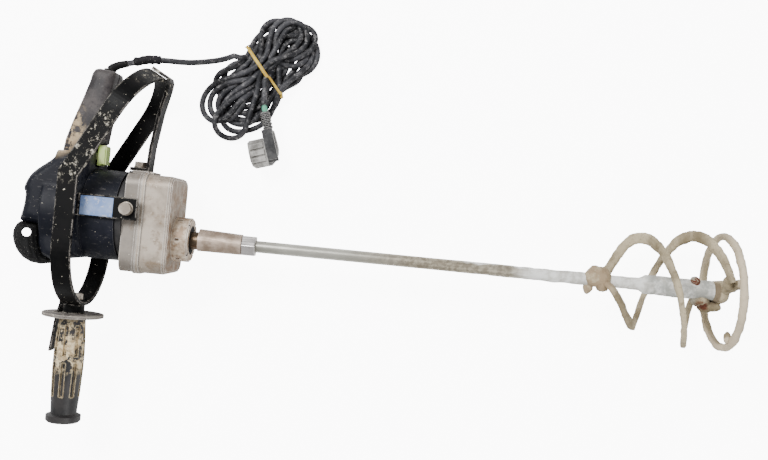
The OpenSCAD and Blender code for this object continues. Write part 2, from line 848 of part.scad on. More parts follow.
module cord_lead() {
  color([0.22, 0.21, 0.22]) path_tube(lead_pts, 12, cord_d, cord_d);
}

module cord_hank() {
  color([0.25, 0.25, 0.26])
    translate([hank_c[0], hank_c[1], 1.8]) rotate([0, 0, hank_a])
      linear_extrude(height = hank_h) rounded(177, 68, 28);
}

module cord_tail() {
  color([0.22, 0.21, 0.22]) path_tube(tail_pts, 12, cord_d, cord_d);
}

module hank_tie() {
  color([0.78, 0.7, 0.42])
    translate([tie_c[0], tie_c[1], 0.2]) rotate([0, 0, hank_a - 104])
      difference() {
        translate([-37.6, -2.5, 0]) cube([75.2, 5, hank_h + 3.4]);
        translate([-36.2, -4, 1.5]) cube([72.4, 8, hank_h + 0.4]);
      }
}

module plug_body() {
  color([0.3, 0.3, 0.3])
    translate([plug_c[0], plug_c[1], 0]) rotate([0, 0, plug_turn]) {
      translate([0, 0, 20]) linear_extrude(height = 13) polygon([
        [-13, -16.5], [7, -16.8], [13, -12.5], [17.6, -5.5], [19.2, 1], [19.2, 8], [18.4, 24], [6.4, 24],
        [5.6, 17.4], [-13.5, 17.4], [-16.4, 15], [-17.2, 3], [-17, -7], [-15.6, -14]
      ]);
      for (y = [-10.5, -2, 6.5])
        translate([-14.6, y, 32.9]) cube([16.6, 5.4, 2.6]);
      translate([4.4, 0, 32.9]) rotate([90, 0, 90]) linear_extrude(height = 13.2)
        polygon([[-14, 0], [26.6, 0], [26.6, 3.4], [20, 6], [4, 6.6], [-11, 3.6]]);
      translate([12.6, 23.9, 31]) rotate([-90, 0, 0]) {
        cylinder(d = 10, h = 24);
        for (i = [0 : 4])
          translate([0, 0, 3.4 + i * 4.2]) cylinder(d = 12.2, h = 2.4);
      }
    }
}

module plug_pins() {
  color([0.7, 0.7, 0.7])
    translate([plug_c[0], plug_c[1], 0.5]) rotate([0, 0, plug_turn])
      for (x = [-9.5, 9.5])
        translate([x + 1, 0, 0]) {
          translate([0, 0, 2]) cylinder(d = 4.8, h = 17.5);
          cylinder(d1 = 3, d2 = 4.8, h = 2);
        }
}

// ---- adaptor, shaft and paddle

module adaptor_sleeve() {
  color([0.58, 0.55, 0.54])
    difference() {
      intersection() {
        at_x(140.2) cylinder(d1 = 29, d2 = 25, h = 50.5);
        translate([139, -11.5, axis_z - 20]) cube([60, 26, 40]);
      }
      rod_x(139, 166, 14);
      rod_x(165, 192, 14);
    }
}

module lock_nut() {
  color([0.76, 0.76, 0.75])
    difference() {
      hex_x(191, 207, 22.5);
      rod_x(190, 208, 14);
    }
}

module mixer_shaft() {
  color([0.58, 0.6, 0.6]) {
    rod_x(168, 655, shaft_d);
    at_x(655) cylinder(d1 = shaft_d, d2 = core_d, h = 6);
    rod_x(661, ring_x, core_d);
  }
}

module blade(ph, first) {
  polyhedron(
    points = flat([for (i = [0 : 60]) blade_ring(-75 + i * 334 / 60, ph, first)]),
    faces = tube_faces(61, 8), convexity = 8);
}

module blade_first() {
  color([0.78, 0.75, 0.69]) blade(0, 54);
}

module blade_second() {
  color([0.78, 0.75, 0.69]) blade(180, 48);
}

module ring() {
  color([0.78, 0.76, 0.71])
    translate([ring_x, 0, axis_z]) rotate([0, 90, ring_lean]) rotate_extrude($fn = 96)
      translate([(ring_d - ring_bar_d) / 2, 0]) circle(d = ring_bar_d, $fn = 24);
}

module ring_crossbar() {
  color([0.76, 0.73, 0.67])
    difference() {
      union() {
        rod_x(ring_x - 12, ring_x + 5, 27);
        translate([ring_x, 0, axis_z]) rotate([0, 90, ring_lean]) rotate([0, 0, -13])
          cube([2 * 62, 8, 10], center = true);
      }
      rod_x(ring_x - 13, ring_x, core_d);
    }
}

handle_shell_near();
handle_shell_far();
handle_screws();
rear_cap();
motor_housing();
bearing_shield();
gearcase_rear();
gearcase_front();
gearcase_screws();
nose_collar();
collar_screws();
spindle_seal();
spindle_bearings();
spindle();
output_gear();
intermediate_gear();
intermediate_shaft();
intermediate_bearings();
armature_shaft();
armature_core();
commutator();
cooling_fan();
armature_bearings();
field_stator();
field_coils();
brush_holders();
carbon_brushes();
brush_springs();
guard_hoop();
guard_leg();
side_bracket_near();
side_bracket_far();
bracket_bolts();
leg_bolt();
rating_label();
aux_stub();
aux_stud();
hand_guard();
aux_grip();
stay_strip();
trigger();
switch_body();
trigger_spring();
speed_module();
cord_gland();
cord_clamp();
cord_sleeve();
cord_lead();
cord_hank();
cord_tail();
hank_tie();
plug_body();
plug_pins();
adaptor_sleeve();
lock_nut();
mixer_shaft();
blade_first();
blade_second();
ring();
ring_crossbar();
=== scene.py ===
"""Looks for the mortar mixer that lies on its side: camera, cord, materials and the detailed pieces.

Everything is in metres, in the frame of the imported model: +X along the shaft, +Y to the main handle, +Z up.
"""

import json
import math

import bpy
import numpy as np
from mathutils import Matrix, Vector, noise


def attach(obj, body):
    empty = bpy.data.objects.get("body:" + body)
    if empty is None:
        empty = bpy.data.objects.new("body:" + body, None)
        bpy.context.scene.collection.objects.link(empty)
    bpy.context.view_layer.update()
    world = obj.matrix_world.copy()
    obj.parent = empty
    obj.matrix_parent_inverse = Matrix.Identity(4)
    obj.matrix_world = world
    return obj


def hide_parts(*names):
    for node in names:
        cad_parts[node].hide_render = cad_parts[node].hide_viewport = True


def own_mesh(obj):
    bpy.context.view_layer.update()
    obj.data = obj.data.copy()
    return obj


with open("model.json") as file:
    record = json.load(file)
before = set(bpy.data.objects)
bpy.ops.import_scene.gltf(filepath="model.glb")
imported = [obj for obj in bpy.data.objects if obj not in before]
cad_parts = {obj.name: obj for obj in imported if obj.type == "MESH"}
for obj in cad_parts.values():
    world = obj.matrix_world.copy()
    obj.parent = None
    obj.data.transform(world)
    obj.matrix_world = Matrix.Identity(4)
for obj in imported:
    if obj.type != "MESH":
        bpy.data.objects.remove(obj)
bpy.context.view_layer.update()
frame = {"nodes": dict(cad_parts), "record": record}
NODES = frame["nodes"]

MM = 0.001
AXIS_Z = 0.070  # height of the shaft's axis above the floor


# ---- camera, floor and light

CAMERA_LENS = 42.1
CAMERA_PLACE = (0.3556, 0.0342, 1.130)
CAMERA_TURN = math.radians(5.57)
MIDDLE = (0.34, 0.0, 0.05)
WORLD_LIGHT = 0.6
FLOOR_GLOW = 9.0


def add_camera():
    """A camera above the machine that looks straight down, turned a little about the vertical."""
    data = bpy.data.cameras.new("camera")
    data.lens = CAMERA_LENS
    data.sensor_width = 36
    data.clip_start, data.clip_end = 0.05, 20
    cam = bpy.data.objects.new("camera", data)
    bpy.context.collection.objects.link(cam)
    cam.location = CAMERA_PLACE
    cam.rotation_euler = (0, 0, CAMERA_TURN)
    bpy.context.scene.camera = cam


def add_light(name, place, size, power):
    """A soft square lamp that faces the middle of the machine."""
    data = bpy.data.lights.new(name, "AREA")
    data.size = size
    data.energy = power
    lamp = bpy.data.objects.new(name, data)
    bpy.context.collection.objects.link(lamp)
    lamp.location = place
    lamp.rotation_euler = (Vector(MIDDLE) - Vector(place)).to_track_quat("-Z", "Y").to_euler()


def add_surroundings():
    """Even white light all round, two lamps, and a floor that glows only towards the camera."""
    world = bpy.data.worlds.new("studio")
    bpy.context.scene.world = world
    world.use_nodes = True
    background = world.node_tree.nodes["Background"]
    background.inputs["Color"].default_value = (1, 1, 1, 1)
    background.inputs["Strength"].default_value = WORLD_LIGHT
    add_light("key", (-0.6, 1.0, 1.9), 0.8, 62)
    add_light("fill", (1.4, -0.9, 1.5), 1.0, 16)
    bpy.ops.mesh.primitive_plane_add(size=12, location=(0.35, 0, -0.0005))
    floor = bpy.context.object
    floor.name = "floor"
    paint = Paint("floor_white", roughness=0.9, Emission_Color=(1, 1, 1, 1))
    paint.colour(rgb(250, 250, 250))
    seen = paint.node("LightPath", {}, "Is Camera Ray")
    glow = paint.node("Math", {0: seen, 1: FLOOR_GLOW}, operation="MULTIPLY")
    paint.put(paint.shader.inputs["Emission Strength"], glow)
    floor.data.materials.append(paint.mat)


# ---- procedural materials

def rgb(r, g, b):
    """A colour given as 0 to 255 screen values, as the linear colour that the shader takes."""
    def linear(v):
        v /= 255
        return v / 12.92 if v <= 0.04045 else ((v + 0.055) / 1.055) ** 2.4
    return (linear(r), linear(g), linear(b), 1)


class Paint:
    """A node material over object coordinates, which are metres in the model's frame.

    put(), colour(), rough(), metal() and bump() set a socket. The others add nodes and return their output.
    """

    def __init__(self, name, roughness=0.6, metallic=0.0, **sockets):
        self.mat = bpy.data.materials.new(name)
        self.mat.use_nodes = True
        self.tree = self.mat.node_tree
        self.shader = self.tree.nodes["Principled BSDF"]
        self.shader.inputs["Roughness"].default_value = roughness
        self.shader.inputs["Metallic"].default_value = metallic
        for key, value in sockets.items():
            self.shader.inputs[key.replace("_", " ")].default_value = value
        self.place = self.tree.nodes.new("ShaderNodeTexCoord").outputs["Object"]

    def put(self, socket, value):
        if isinstance(value, bpy.types.NodeSocket):
            self.tree.links.new(value, socket)
        else:
            socket.default_value = value

    def node(self, kind, inputs, out=0, **settings):
        """A new shader node, with values or sockets for its inputs. Returns one of its outputs."""
        made = self.tree.nodes.new("ShaderNode" + kind)
        for key, value in settings.items():
            setattr(made, key, value)
        for key, value in inputs.items():
            self.put(made.inputs[key], value)
        return made.outputs[out]

    def stretched(self, factors):
        """The coordinates scaled along each axis, for patterns that run in one direction."""
        return self.node("Mapping", {"Vector": self.place, "Scale": factors})

    def noise(self, scale, detail=4, rough=0.6, where=None):
        """Cloudy noise about 0.5, with about scale lumps to a metre."""
        return self.node("TexNoise", {"Vector": where or self.place, "Scale": scale, "Detail": detail,
                                      "Roughness": rough}, "Fac")

    def ramp(self, value, low, high, start=0.0, end=1.0):
        """A smooth step from start, where the value is low, to end, where it is high."""
        return self.node("MapRange", {"Value": value, "From Min": low, "From Max": high, "To Min": start,
                                      "To Max": end}, interpolation_type="SMOOTHSTEP")

    def math(self, kind, a, b):
        """A sum, product or maximum of two values, kept within 0 and 1."""
        return self.node("Math", {0: a, 1: b}, operation=kind, use_clamp=True)

    def axis(self, letter):
        """The X, Y or Z coordinate."""
        return self.node("SeparateXYZ", {0: self.place}, letter)

    def near(self, point, inner, outer):
        """1 within inner of a point, falling to 0 at outer."""
        away = self.node("VectorMath", {0: self.place, 1: point}, "Value", operation="DISTANCE")
        return self.ramp(away, inner, outer, 1, 0)

    def near_any(self, spots):
        """near() for several spots, each given as (point, inner, outer)."""
        total = self.near(*spots[0])
        for spot in spots[1:]:
            total = self.math("ADD", total, self.near(*spot))
        return total

    def band(self, value, rise, fall):
        """1 in a band of the value. rise and fall are its edges, from where each is 0 to where it is 1."""
        return self.math("MULTIPLY", self.ramp(value, *rise), self.ramp(value, *fall))

    def edges(self, width, low=0.02, high=0.2):
        """1 on sharp edges, from how much a rounded copy of the surface leans away from it."""
        rounded = self.node("Bevel", {"Radius": width}, samples=4)
        normal = self.node("NewGeometry", {}, "Normal")
        along = self.node("VectorMath", {0: rounded, 1: normal}, "Value", operation="DOT_PRODUCT")
        return self.ramp(along, 1 - low, 1 - high)

    def mix(self, share, a, b):
        """Colour a at share 0 and b at share 1: the Mix node's colours are inputs 6 and 7 and output 2."""
        return self.node("Mix", {0: share, 6: a, 7: b}, 2, data_type="RGBA")

    def over(self, base, colour, share, strength):
        """Lays a colour over the base where share is 1, as strongly as strength says."""
        return self.mix(self.math("MULTIPLY", share, strength), base, colour)

    def colour(self, value):
        self.put(self.shader.inputs["Base Color"], value)

    def rough(self, value):
        self.put(self.shader.inputs["Roughness"], value)

    def metal(self, value):
        self.put(self.shader.inputs["Metallic"], value)

    def bump(self, height, depth, strength):
        """Bump of the given depth in metres."""
        self.put(self.shader.inputs["Normal"],
                 self.node("Bump", {"Height": height, "Strength": strength, "Distance": depth}))


MORTAR = rgb(214, 207, 190)
RUST = rgb(112, 62, 34)


def paint_housing():
    """Dark moulded plastic: nearly clean at the motor, worn brown-grey with mortar on the grip."""
    p = Paint("housing", roughness=0.5, Specular_IOR_Level=0.25)
    blotch = p.noise(22, 5, 0.65)
    fine = p.noise(150, 5, 0.7)
    scuff = p.ramp(p.noise(90, 3, 0.7, p.stretched((1, 3, 1))), 0.60, 0.70)
    specks = p.ramp(p.noise(460, 3, 0.6), 0.70, 0.73)
    on_grip = p.ramp(p.axis("Y"), 0.080, 0.120)
    clean = p.mix(p.ramp(blotch, 0.48, 0.75, 0, 0.5), rgb(7, 10, 22), rgb(34, 35, 46))
    worn = p.mix(p.ramp(blotch, 0.35, 0.65), rgb(34, 32, 35), rgb(84, 79, 78))
    worn = p.mix(p.ramp(fine, 0.5, 0.66, 0, 0.55), worn, rgb(20, 18, 24))
    base = p.mix(on_grip, clean, worn)
    patches = p.near_any((((-0.018, 0.112, 0.092), 0.010, 0.024), ((-0.016, 0.134, 0.088), 0.006, 0.018),
                          ((-0.020, 0.090, 0.102), 0.004, 0.018)))
    patches = p.math("MULTIPLY", patches, p.ramp(p.noise(95, 5, 0.7), 0.44, 0.54))
    base = p.over(base, p.mix(fine, rgb(128, 98, 66), rgb(216, 196, 160)), patches, 0.95)
    base = p.over(base, rgb(110, 107, 106), scuff, 0.3)
    base = p.over(base, rgb(120, 118, 120), p.edges(0.0016), 0.35)
    base = p.over(base, MORTAR, specks, 0.75)
    p.colour(base)
    p.rough(p.ramp(blotch, 0.3, 0.7, 0.40, 0.66))
    p.bump(p.math("ADD", patches, p.math("MULTIPLY", p.noise(900, 2, 0.5), 0.3)), 0.0003, 0.5)
    return p.mat


def paint_rubber(name, dark, light, dusty):
    """Dull rubber with dust in patches."""
    p = Paint(name, roughness=0.8, Specular_IOR_Level=0.25)
    blotch = p.noise(45, 5, 0.65)
    fine = p.noise(700, 3, 0.6)
    base = p.mix(p.ramp(blotch, 0.35, 0.7, 0, dusty), dark, light)
    base = p.mix(p.ramp(fine, 0.64, 0.70, 0, 0.4), base, rgb(186, 182, 172))
    p.colour(base)
    p.rough(p.ramp(blotch, 0.3, 0.7, 0.62, 0.9))
    p.bump(fine, 0.0001, 0.6)
    return p.mat


GREEN_MARK = (0.1962, 0.1674, 0.0335)


def paint_cord():
    """Dark cord with long pale streaks of painted sheen, and one green mark where it meets the plug."""
    p = Paint("cord_rubber", roughness=0.6, Specular_IOR_Level=0.35)
    blotch = p.noise(34, 4, 0.6)
    sheen_streak = p.noise(160, 5, 0.75)
    base = p.mix(p.ramp(blotch, 0.35, 0.7), rgb(14, 15, 20), rgb(62, 62, 66))
    # painted highlight: pale streaks stand in for the sheen of light along the strands
    base = p.mix(p.ramp(sheen_streak, 0.5, 0.68, 0, 0.7), base, rgb(134, 132, 132))
    base = p.mix(p.ramp(p.noise(420, 4, 0.65), 0.69, 0.72, 0, 0.6), base, MORTAR)
    base = p.mix(p.near(GREEN_MARK, 0.003, 0.0055), base, rgb(92, 170, 140))
    p.colour(base)
    p.bump(sheen_streak, 0.0002, 0.6)
    return p.mat


def paint_guard():
    """A grey worn disc, paler round its rim."""
    p = Paint("guard_plastic", roughness=0.7)
    blotch = p.noise(45, 5, 0.65)
    base = p.mix(p.ramp(blotch, 0.35, 0.65), rgb(78, 72, 70), rgb(124, 118, 112))
    base = p.over(base, rgb(178, 170, 158), p.edges(0.003, 0.01, 0.1), 0.9)
    base = p.mix(p.ramp(p.noise(300, 3), 0.62, 0.68, 0, 0.8), base, MORTAR)
    p.colour(base)
    p.bump(blotch, 0.0003, 0.5)
    return p.mat


PLUG_SIDE = (0.199, 0.114, 0)
PLUG_TURN = math.radians(18)


def paint_plug():
    """Grey rubber plug: a pale ridged half, and a dark worn spine with painted highlights on the rims beside
    it.
    """
    p = Paint("plug_rubber", roughness=0.7, Specular_IOR_Level=0.3)
    away = p.node("VectorMath", {0: p.place, 1: PLUG_SIDE}, 0, operation="SUBTRACT")
    across = (math.cos(PLUG_TURN), math.sin(PLUG_TURN), 0)
    beside = p.node("VectorMath", {0: away, 1: across}, "Value", operation="DOT_PRODUCT")
    blotch = p.noise(70, 5, 0.7)
    pale = p.mix(p.ramp(blotch, 0.35, 0.65), rgb(112, 110, 106), rgb(178, 176, 172))
    dark = p.mix(p.ramp(blotch, 0.35, 0.7), rgb(42, 42, 44), rgb(84, 84, 84))
    base = p.mix(p.band(beside, (0.0035, 0.0052), (0.0185, 0.0168)), pale, dark)
    # painted highlight: pale colour on the sharp edges of the plug
    base = p.over(base, rgb(206, 204, 200), p.edges(0.0012), 0.8)
    p.colour(base)
    p.bump(p.noise(420, 3), 0.0002, 0.6)
    return p.mat


def paint_black_steel():
    """Black paint, chipped to pale edges, with dried mortar specks and a few thicker splashes."""
    p = Paint("black_paint", roughness=0.5, Specular_IOR_Level=0.12)
    blotch = p.noise(30, 5, 0.6)
    chipped = p.math("MULTIPLY", p.edges(0.0026, 0.01, 0.12), p.ramp(p.noise(90, 6, 0.8), 0.44, 0.54))
    specks = p.ramp(p.noise(210, 5, 0.7), 0.655, 0.68)
    splash = p.near_any((((0.027, 0.117, 0.148), 0.012, 0.040), ((0.010, 0.080, 0.148), 0.008, 0.035),
                         ((0.072, 0.182, 0.090), 0.015, 0.045)))
    splash = p.math("MULTIPLY", splash, p.ramp(p.noise(120, 6, 0.8), 0.555, 0.615))
    base = p.mix(p.ramp(blotch, 0.4, 0.75, 0, 0.6), rgb(2, 2, 3), rgb(20, 18, 18))
    base = p.mix(p.ramp(p.noise(46, 6, 0.75), 0.64, 0.72, 0, 0.4), base, rgb(112, 105, 95))
    base = p.over(base, rgb(158, 152, 145), chipped, 0.9)
    base = p.over(base, MORTAR, p.math("ADD", specks, splash), 0.85)
    p.colour(base)
    p.rough(p.ramp(blotch, 0.35, 0.7, 0.4, 0.66))
    p.bump(p.math("ADD", specks, p.math("MULTIPLY", blotch, 0.3)), 0.0003, 0.6)
    return p.mat


def paint_cast(name, light, dark, metallic=0.4):
    """Bare cast alloy: greyer at the rear, brown dirt on its front face, dark painted shade in its seams,
    pale painted highlights on its edges.
    """
    p = Paint(name, roughness=0.52, metallic=metallic)
    along = p.axis("X")
    blotch = p.noise(24, 6, 0.65)
    base = p.mix(p.ramp(blotch, 0.35, 0.65), dark, light)
    rear = p.ramp(along, 0.0776, 0.0790, 1, 0)
    base = p.over(base, rgb(104, 102, 100), rear, 0.55)
    base = p.mix(p.ramp(p.noise(55, 6, 0.75), 0.50, 0.64, 0, 0.6), base, rgb(112, 88, 62))
    # painted shade: dark bands where the seams between the cast parts lie
    seam_shade = p.math("ADD", p.band(along, (0.0734, 0.0742), (0.0752, 0.0744)),
                    p.band(along, (0.0818, 0.0824), (0.0838, 0.0828)))
    base = p.over(base, rgb(84, 78, 72), seam_shade, 0.6)
    face = p.math("MULTIPLY", p.ramp(along, 0.1085, 0.1115), p.ramp(p.noise(85, 5, 0.7), 0.42, 0.60))
    base = p.over(base, rgb(124, 90, 56), face, 0.7)
    # painted highlight: pale colour on the sharp edges, for light caught at the rims
    base = p.over(base, rgb(228, 222, 214), p.edges(0.0018), 0.85)
    base = p.mix(p.ramp(p.noise(300, 2, 0.5), 0.68, 0.72, 0, 0.7), base, MORTAR)
    p.colour(base)
    p.rough(p.ramp(blotch, 0.3, 0.7, 0.42, 0.66))
    p.bump(p.noise(650, 3, 0.6), 0.00015, 0.7)
    return p.mat


def paint_machined(name, light, dark, rusty, roughness=0.34, metallic=0.9):
    """Turned or milled steel with fine scratches and light rust."""
    p = Paint(name, roughness=roughness, metallic=metallic)
    blotch = p.noise(55, 5, 0.65)
    scratch = p.noise(500, 2, 0.5, p.stretched((0.1, 1, 1)))
    base = p.mix(p.ramp(blotch, 0.35, 0.65), light, dark)
    base = p.mix(p.ramp(p.noise(120, 5, 0.7), 0.6 - 0.15 * rusty, 0.72, 0, rusty), base, RUST)
    p.colour(base)
    p.rough(p.ramp(scratch, 0.35, 0.65, roughness - 0.06, roughness + 0.16))
    p.bump(scratch, 0.00008, 0.5)
    return p.mat


def paint_plain(name, colour, second, roughness=0.6, scale=60):
    """A mottled finish in two close colours, for small or mostly hidden pieces."""
    p = Paint(name, roughness=roughness)
    p.colour(p.mix(p.ramp(p.noise(scale, 4), 0.35, 0.65), colour, second))
    p.bump(p.noise(scale * 9, 2), 0.0001, 0.5)
    return p.mat


def paint_shaft():
    """Zinc-plated bar: clean by the nut, mottled brown further on, white with mortar at the paddle."""
    p = Paint("shaft_zinc", roughness=0.36, metallic=0.6)
    along = p.axis("X")
    blotch = p.noise(30, 5, 0.6, p.stretched((0.35, 1, 1)))
    fine = p.noise(170, 4, 0.6)
    zinc = p.mix(p.ramp(blotch, 0.3, 0.7), rgb(198, 196, 186), rgb(140, 138, 128))
    brown = p.mix(p.ramp(fine, 0.42, 0.62), rgb(136, 124, 104), rgb(180, 170, 148))
    base = p.mix(p.ramp(along, 0.30, 0.40, 0, 0.8), zinc, brown)
    reach = p.math("ADD", p.ramp(along, 0.42, 0.56, 0, 0.75), p.ramp(blotch, 0.42, 0.62, -0.1, 0.4))
    share = p.math("MULTIPLY", p.ramp(reach, 0.40, 0.62), p.ramp(along, 0.38, 0.43))
    white = p.mix(p.ramp(p.noise(70, 5), 0.4, 0.6), rgb(236, 236, 232), rgb(196, 194, 186))
    base = p.mix(share, base, white)
    thick_end = p.math("MULTIPLY", p.ramp(along, 0.664, 0.674), p.ramp(p.noise(60, 5, 0.7), 0.38, 0.58))
    base = p.over(base, rgb(150, 152, 146), thick_end, 0.8)
    p.colour(base)
    p.metal(p.ramp(share, 0, 1, 0.6, 0.0))
    p.rough(p.ramp(share, 0, 1, 0.36, 0.85))
    p.bump(p.math("ADD", p.math("MULTIPLY", share, 0.6), p.math("MULTIPLY", fine, 0.4)), 0.0004, 0.6)
    return p.mat


RUSTY_SPOTS = (((0.7255, 0.012, 0.078), 0.008, 0.013), ((0.7350, -0.019, 0.074), 0.005, 0.011))


def paint_mortar():
    """Steel hidden under a pale dried crust, thin and brown in places, with a few rust patches."""
    p = Paint("paddle_mortar", roughness=0.85)
    along = p.axis("X")
    fine = p.noise(170, 5, 0.7)
    base = p.mix(p.ramp(p.noise(16, 6, 0.65), 0.35, 0.65), rgb(196, 182, 152), rgb(126, 113, 86))
    base = p.mix(p.ramp(fine, 0.54, 0.68, 0, 0.6), base, rgb(104, 90, 66))
    ring = p.ramp(p.near((RING_X, 0, AXIS_Z), 0.056, 0.066), 0.6, 0.2)
    ring = p.math("MULTIPLY", ring, p.ramp(along, 0.748, 0.756))
    base = p.over(base, rgb(226, 210, 184), ring, 0.6)
    root = p.math("MULTIPLY", p.near((0.608, 0.0, 0.078), 0.012, 0.032), p.ramp(p.noise(90, 4), 0.3, 0.5))
    base = p.over(base, rgb(144, 120, 92), root, 0.75)
    grey = p.math("MULTIPLY", p.near((0.700, 0.0, 0.08), 0.02, 0.05), p.ramp(p.noise(50, 3), 0.35, 0.6))
    base = p.over(base, rgb(168, 168, 160), grey, 0.6)
    hub = p.math("MULTIPLY", p.near((0.7510, -0.003, 0.076), 0.012, 0.017), p.ramp(along, 0.7550, 0.7530))
    base = p.over(base, rgb(92, 76, 58), hub, 0.75)
    for spot in RUSTY_SPOTS:
        red = p.math("MULTIPLY", p.near(*spot), p.ramp(p.noise(130, 5, 0.8), 0.42, 0.52))
        base = p.mix(red, base, rgb(92, 42, 18))
    p.colour(base)
    grit = p.math("MULTIPLY", p.noise(700, 2), 0.3)
    p.bump(p.math("ADD", p.math("MULTIPLY", fine, 0.7), grit), 0.0006, 0.8)
    return p.mat


def paint_grip():
    """Black ribbed grip with cream mortar on its near half and in the rims of its grooves."""
    p = Paint("grip_plastic", roughness=0.55)
    base = p.mix(p.ramp(p.noise(40, 5, 0.6), 0.35, 0.65), rgb(12, 12, 14), rgb(44, 41, 41))
    along = p.axis("Y")
    near_half = p.band(along, (-0.172, -0.160), (-0.100, -0.112))
    patch = p.math("MULTIPLY", near_half, p.ramp(p.noise(85, 5, 0.7), 0.47, 0.53))
    rim = p.math("MULTIPLY", p.edges(0.0022, 0.01, 0.10), p.ramp(along, -0.216, -0.208))
    share = p.math("MAXIMUM", patch, p.math("MULTIPLY", rim, 0.9))
    cream = p.mix(p.ramp(p.noise(200, 3), 0.4, 0.6), rgb(222, 204, 166), rgb(172, 150, 114))
    p.colour(p.mix(share, base, cream))
    p.rough(p.ramp(share, 0, 1, 0.5, 0.85))
    p.bump(p.math("ADD", share, p.math("MULTIPLY", p.noise(600, 2), 0.2)), 0.0004, 0.6)
    return p.mat


def paint_label():
    """A scuffed pale blue sticker with no lettering."""
    p = Paint("label_film", roughness=0.38)
    blotch = p.noise(60, 5, 0.65)
    base = p.mix(p.ramp(blotch, 0.35, 0.65), rgb(110, 138, 190), rgb(146, 166, 204))
    rubbed = p.ramp(p.noise(150, 4, 0.7), 0.56, 0.66, 0, 0.7)
    base = p.mix(rubbed, base, rgb(206, 208, 214))
    base = p.over(base, rgb(60, 64, 74), p.edges(0.0015), 0.6)
    p.colour(base)
    p.bump(blotch, 0.0001, 0.5)
    return p.mat


def make_materials():
    """One material for each of the record's material slots."""
    steel = (rgb(190, 188, 184), rgb(150, 148, 144))
    return {
        "housing": paint_housing(),
        "cap_rubber": paint_rubber("cap_rubber", rgb(3, 3, 4), rgb(18, 17, 17), 0.5),
        "dark_cast": paint_plain("dark_cast", rgb(24, 24, 26), rgb(48, 46, 46), 0.5),
        "case_alloy": paint_cast("case_alloy", rgb(190, 178, 164), rgb(138, 126, 112)),
        "collar_alloy": paint_cast("collar_alloy", rgb(228, 212, 192), rgb(186, 168, 146), 0.2),
        "zinc_screw": paint_machined("zinc_screw", rgb(96, 90, 84), rgb(58, 52, 46), 0.4),
        "bearing_steel": paint_machined("bearing_steel", *steel, 0.0, 0.2),
        "oily_steel": paint_machined("oily_steel", rgb(98, 84, 68), rgb(50, 42, 34), 0.4, 0.35),
        "gear_steel": paint_machined("gear_steel", rgb(150, 150, 152), rgb(110, 110, 112), 0.0),
        "laminations": paint_machined("laminations", rgb(110, 106, 104), rgb(80, 78, 78), 0.1, 0.5),
        "copper": paint_machined("copper", rgb(196, 120, 66), rgb(150, 84, 44), 0.0, 0.35),
        "fan_plastic": paint_plain("fan_plastic", rgb(26, 26, 28), rgb(42, 42, 44)),
        "brass_part": paint_machined("brass_part", rgb(200, 164, 92), rgb(160, 126, 66), 0.0, 0.3),
        "carbon": paint_plain("carbon", rgb(24, 24, 25), rgb(36, 36, 38), 0.7),
        "spring_steel": paint_machined("spring_steel", *steel, 0.0, 0.3),
        "black_paint": paint_black_steel(),
        "bolt_steel": paint_machined("bolt_steel", rgb(206, 198, 186), rgb(138, 128, 116), 0.3, 0.42, 0.6),
        "label_film": paint_label(),
        "guard_plastic": paint_guard(),
        "grip_plastic": paint_grip(),
        "trigger_plastic": paint_plain("trigger_plastic", rgb(168, 200, 92), rgb(204, 214, 150), 0.5),
        "board": paint_plain("board", rgb(30, 74, 46), rgb(52, 92, 60)),
        "tape": paint_rubber("tape", rgb(14, 13, 17), rgb(44, 41, 46), 0.6),
        "cord_rubber": paint_cord(),
        "tie_band": paint_plain("tie_band", rgb(214, 184, 84), rgb(176, 140, 50), scale=90),
        "plug_rubber": paint_plug(),
        "pin_brass": paint_machined("pin_brass", rgb(200, 190, 160), rgb(160, 150, 120), 0.0, 0.25),
        "adaptor_steel": paint_machined("adaptor_steel", rgb(186, 168, 152), rgb(140, 122, 106),
                                        0.25, 0.4, 0.5),
        "nut_steel": paint_machined("nut_steel", rgb(214, 210, 208), rgb(176, 170, 166), 0.1, 0.3),
        "shaft_zinc": paint_shaft(),
        "paddle_mortar": paint_mortar(),
    }


# ---- mesh helpers

def shown(name, verts, faces, body, slot, replaces=()):
    """A smooth mesh piece that rides on a body and takes a slot's material."""
    mesh = bpy.data.meshes.new(name)
    mesh.from_pydata([tuple(v) for v in verts], [], [tuple(f) for f in faces])
    mesh.update()
    for poly in mesh.polygons:
        poly.use_smooth = True
    obj = bpy.data.objects.new(name, mesh)
    bpy.context.collection.objects.link(obj)
    return dressed(obj, body, slot, replaces)


def dressed(obj, body, slot, replaces=()):
    """Gives a piece its material, its body, and the CAD nodes that it stands for."""
    obj.data.materials.clear()
    obj.data.materials.append(MATERIALS[slot])
    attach(obj, body)
    if replaces:
        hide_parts(*replaces)
    return obj


def unit(v):
    """Vectors of length 1, for one vector or for rows of them."""
    v = np.asarray(v, float)
    return v / np.linalg.norm(v, axis=-1, keepdims=True)


def directions(points):
    """The direction of travel at each point of a path."""
    return unit(np.gradient(np.asarray(points, float), axis=0))


def square_to(ahead, guide):
    """Two directions square to ahead and to each other, the second leaning towards guide."""
    side = unit(np.cross(ahead, guide))
    return side, np.cross(side, ahead)


def angles(count):
    """Evenly spaced angles of a full turn."""
    return np.linspace(0, 2 * math.pi, count, endpoint=False)


def squarish(angle, wide_power, thick_power):
    """cos and sin of an angle, pushed out towards a square's corners, more so for lower powers."""
    wide, thick = math.cos(angle), math.sin(angle)
    return math.copysign(abs(wide) ** wide_power, wide), math.copysign(abs(thick) ** thick_power, thick)


def lumps(points, scale, amount, seed):
    """Soft noise at each point, about -amount to amount, the same on every run."""
    shift = Vector((seed, seed * 1.7, -seed))
    roughness, step_up, octaves = 0.8, 2.0, 4
    return np.array([noise.fractal(Vector(p) * scale + shift, roughness, step_up, octaves)
                     for p in points]) * amount


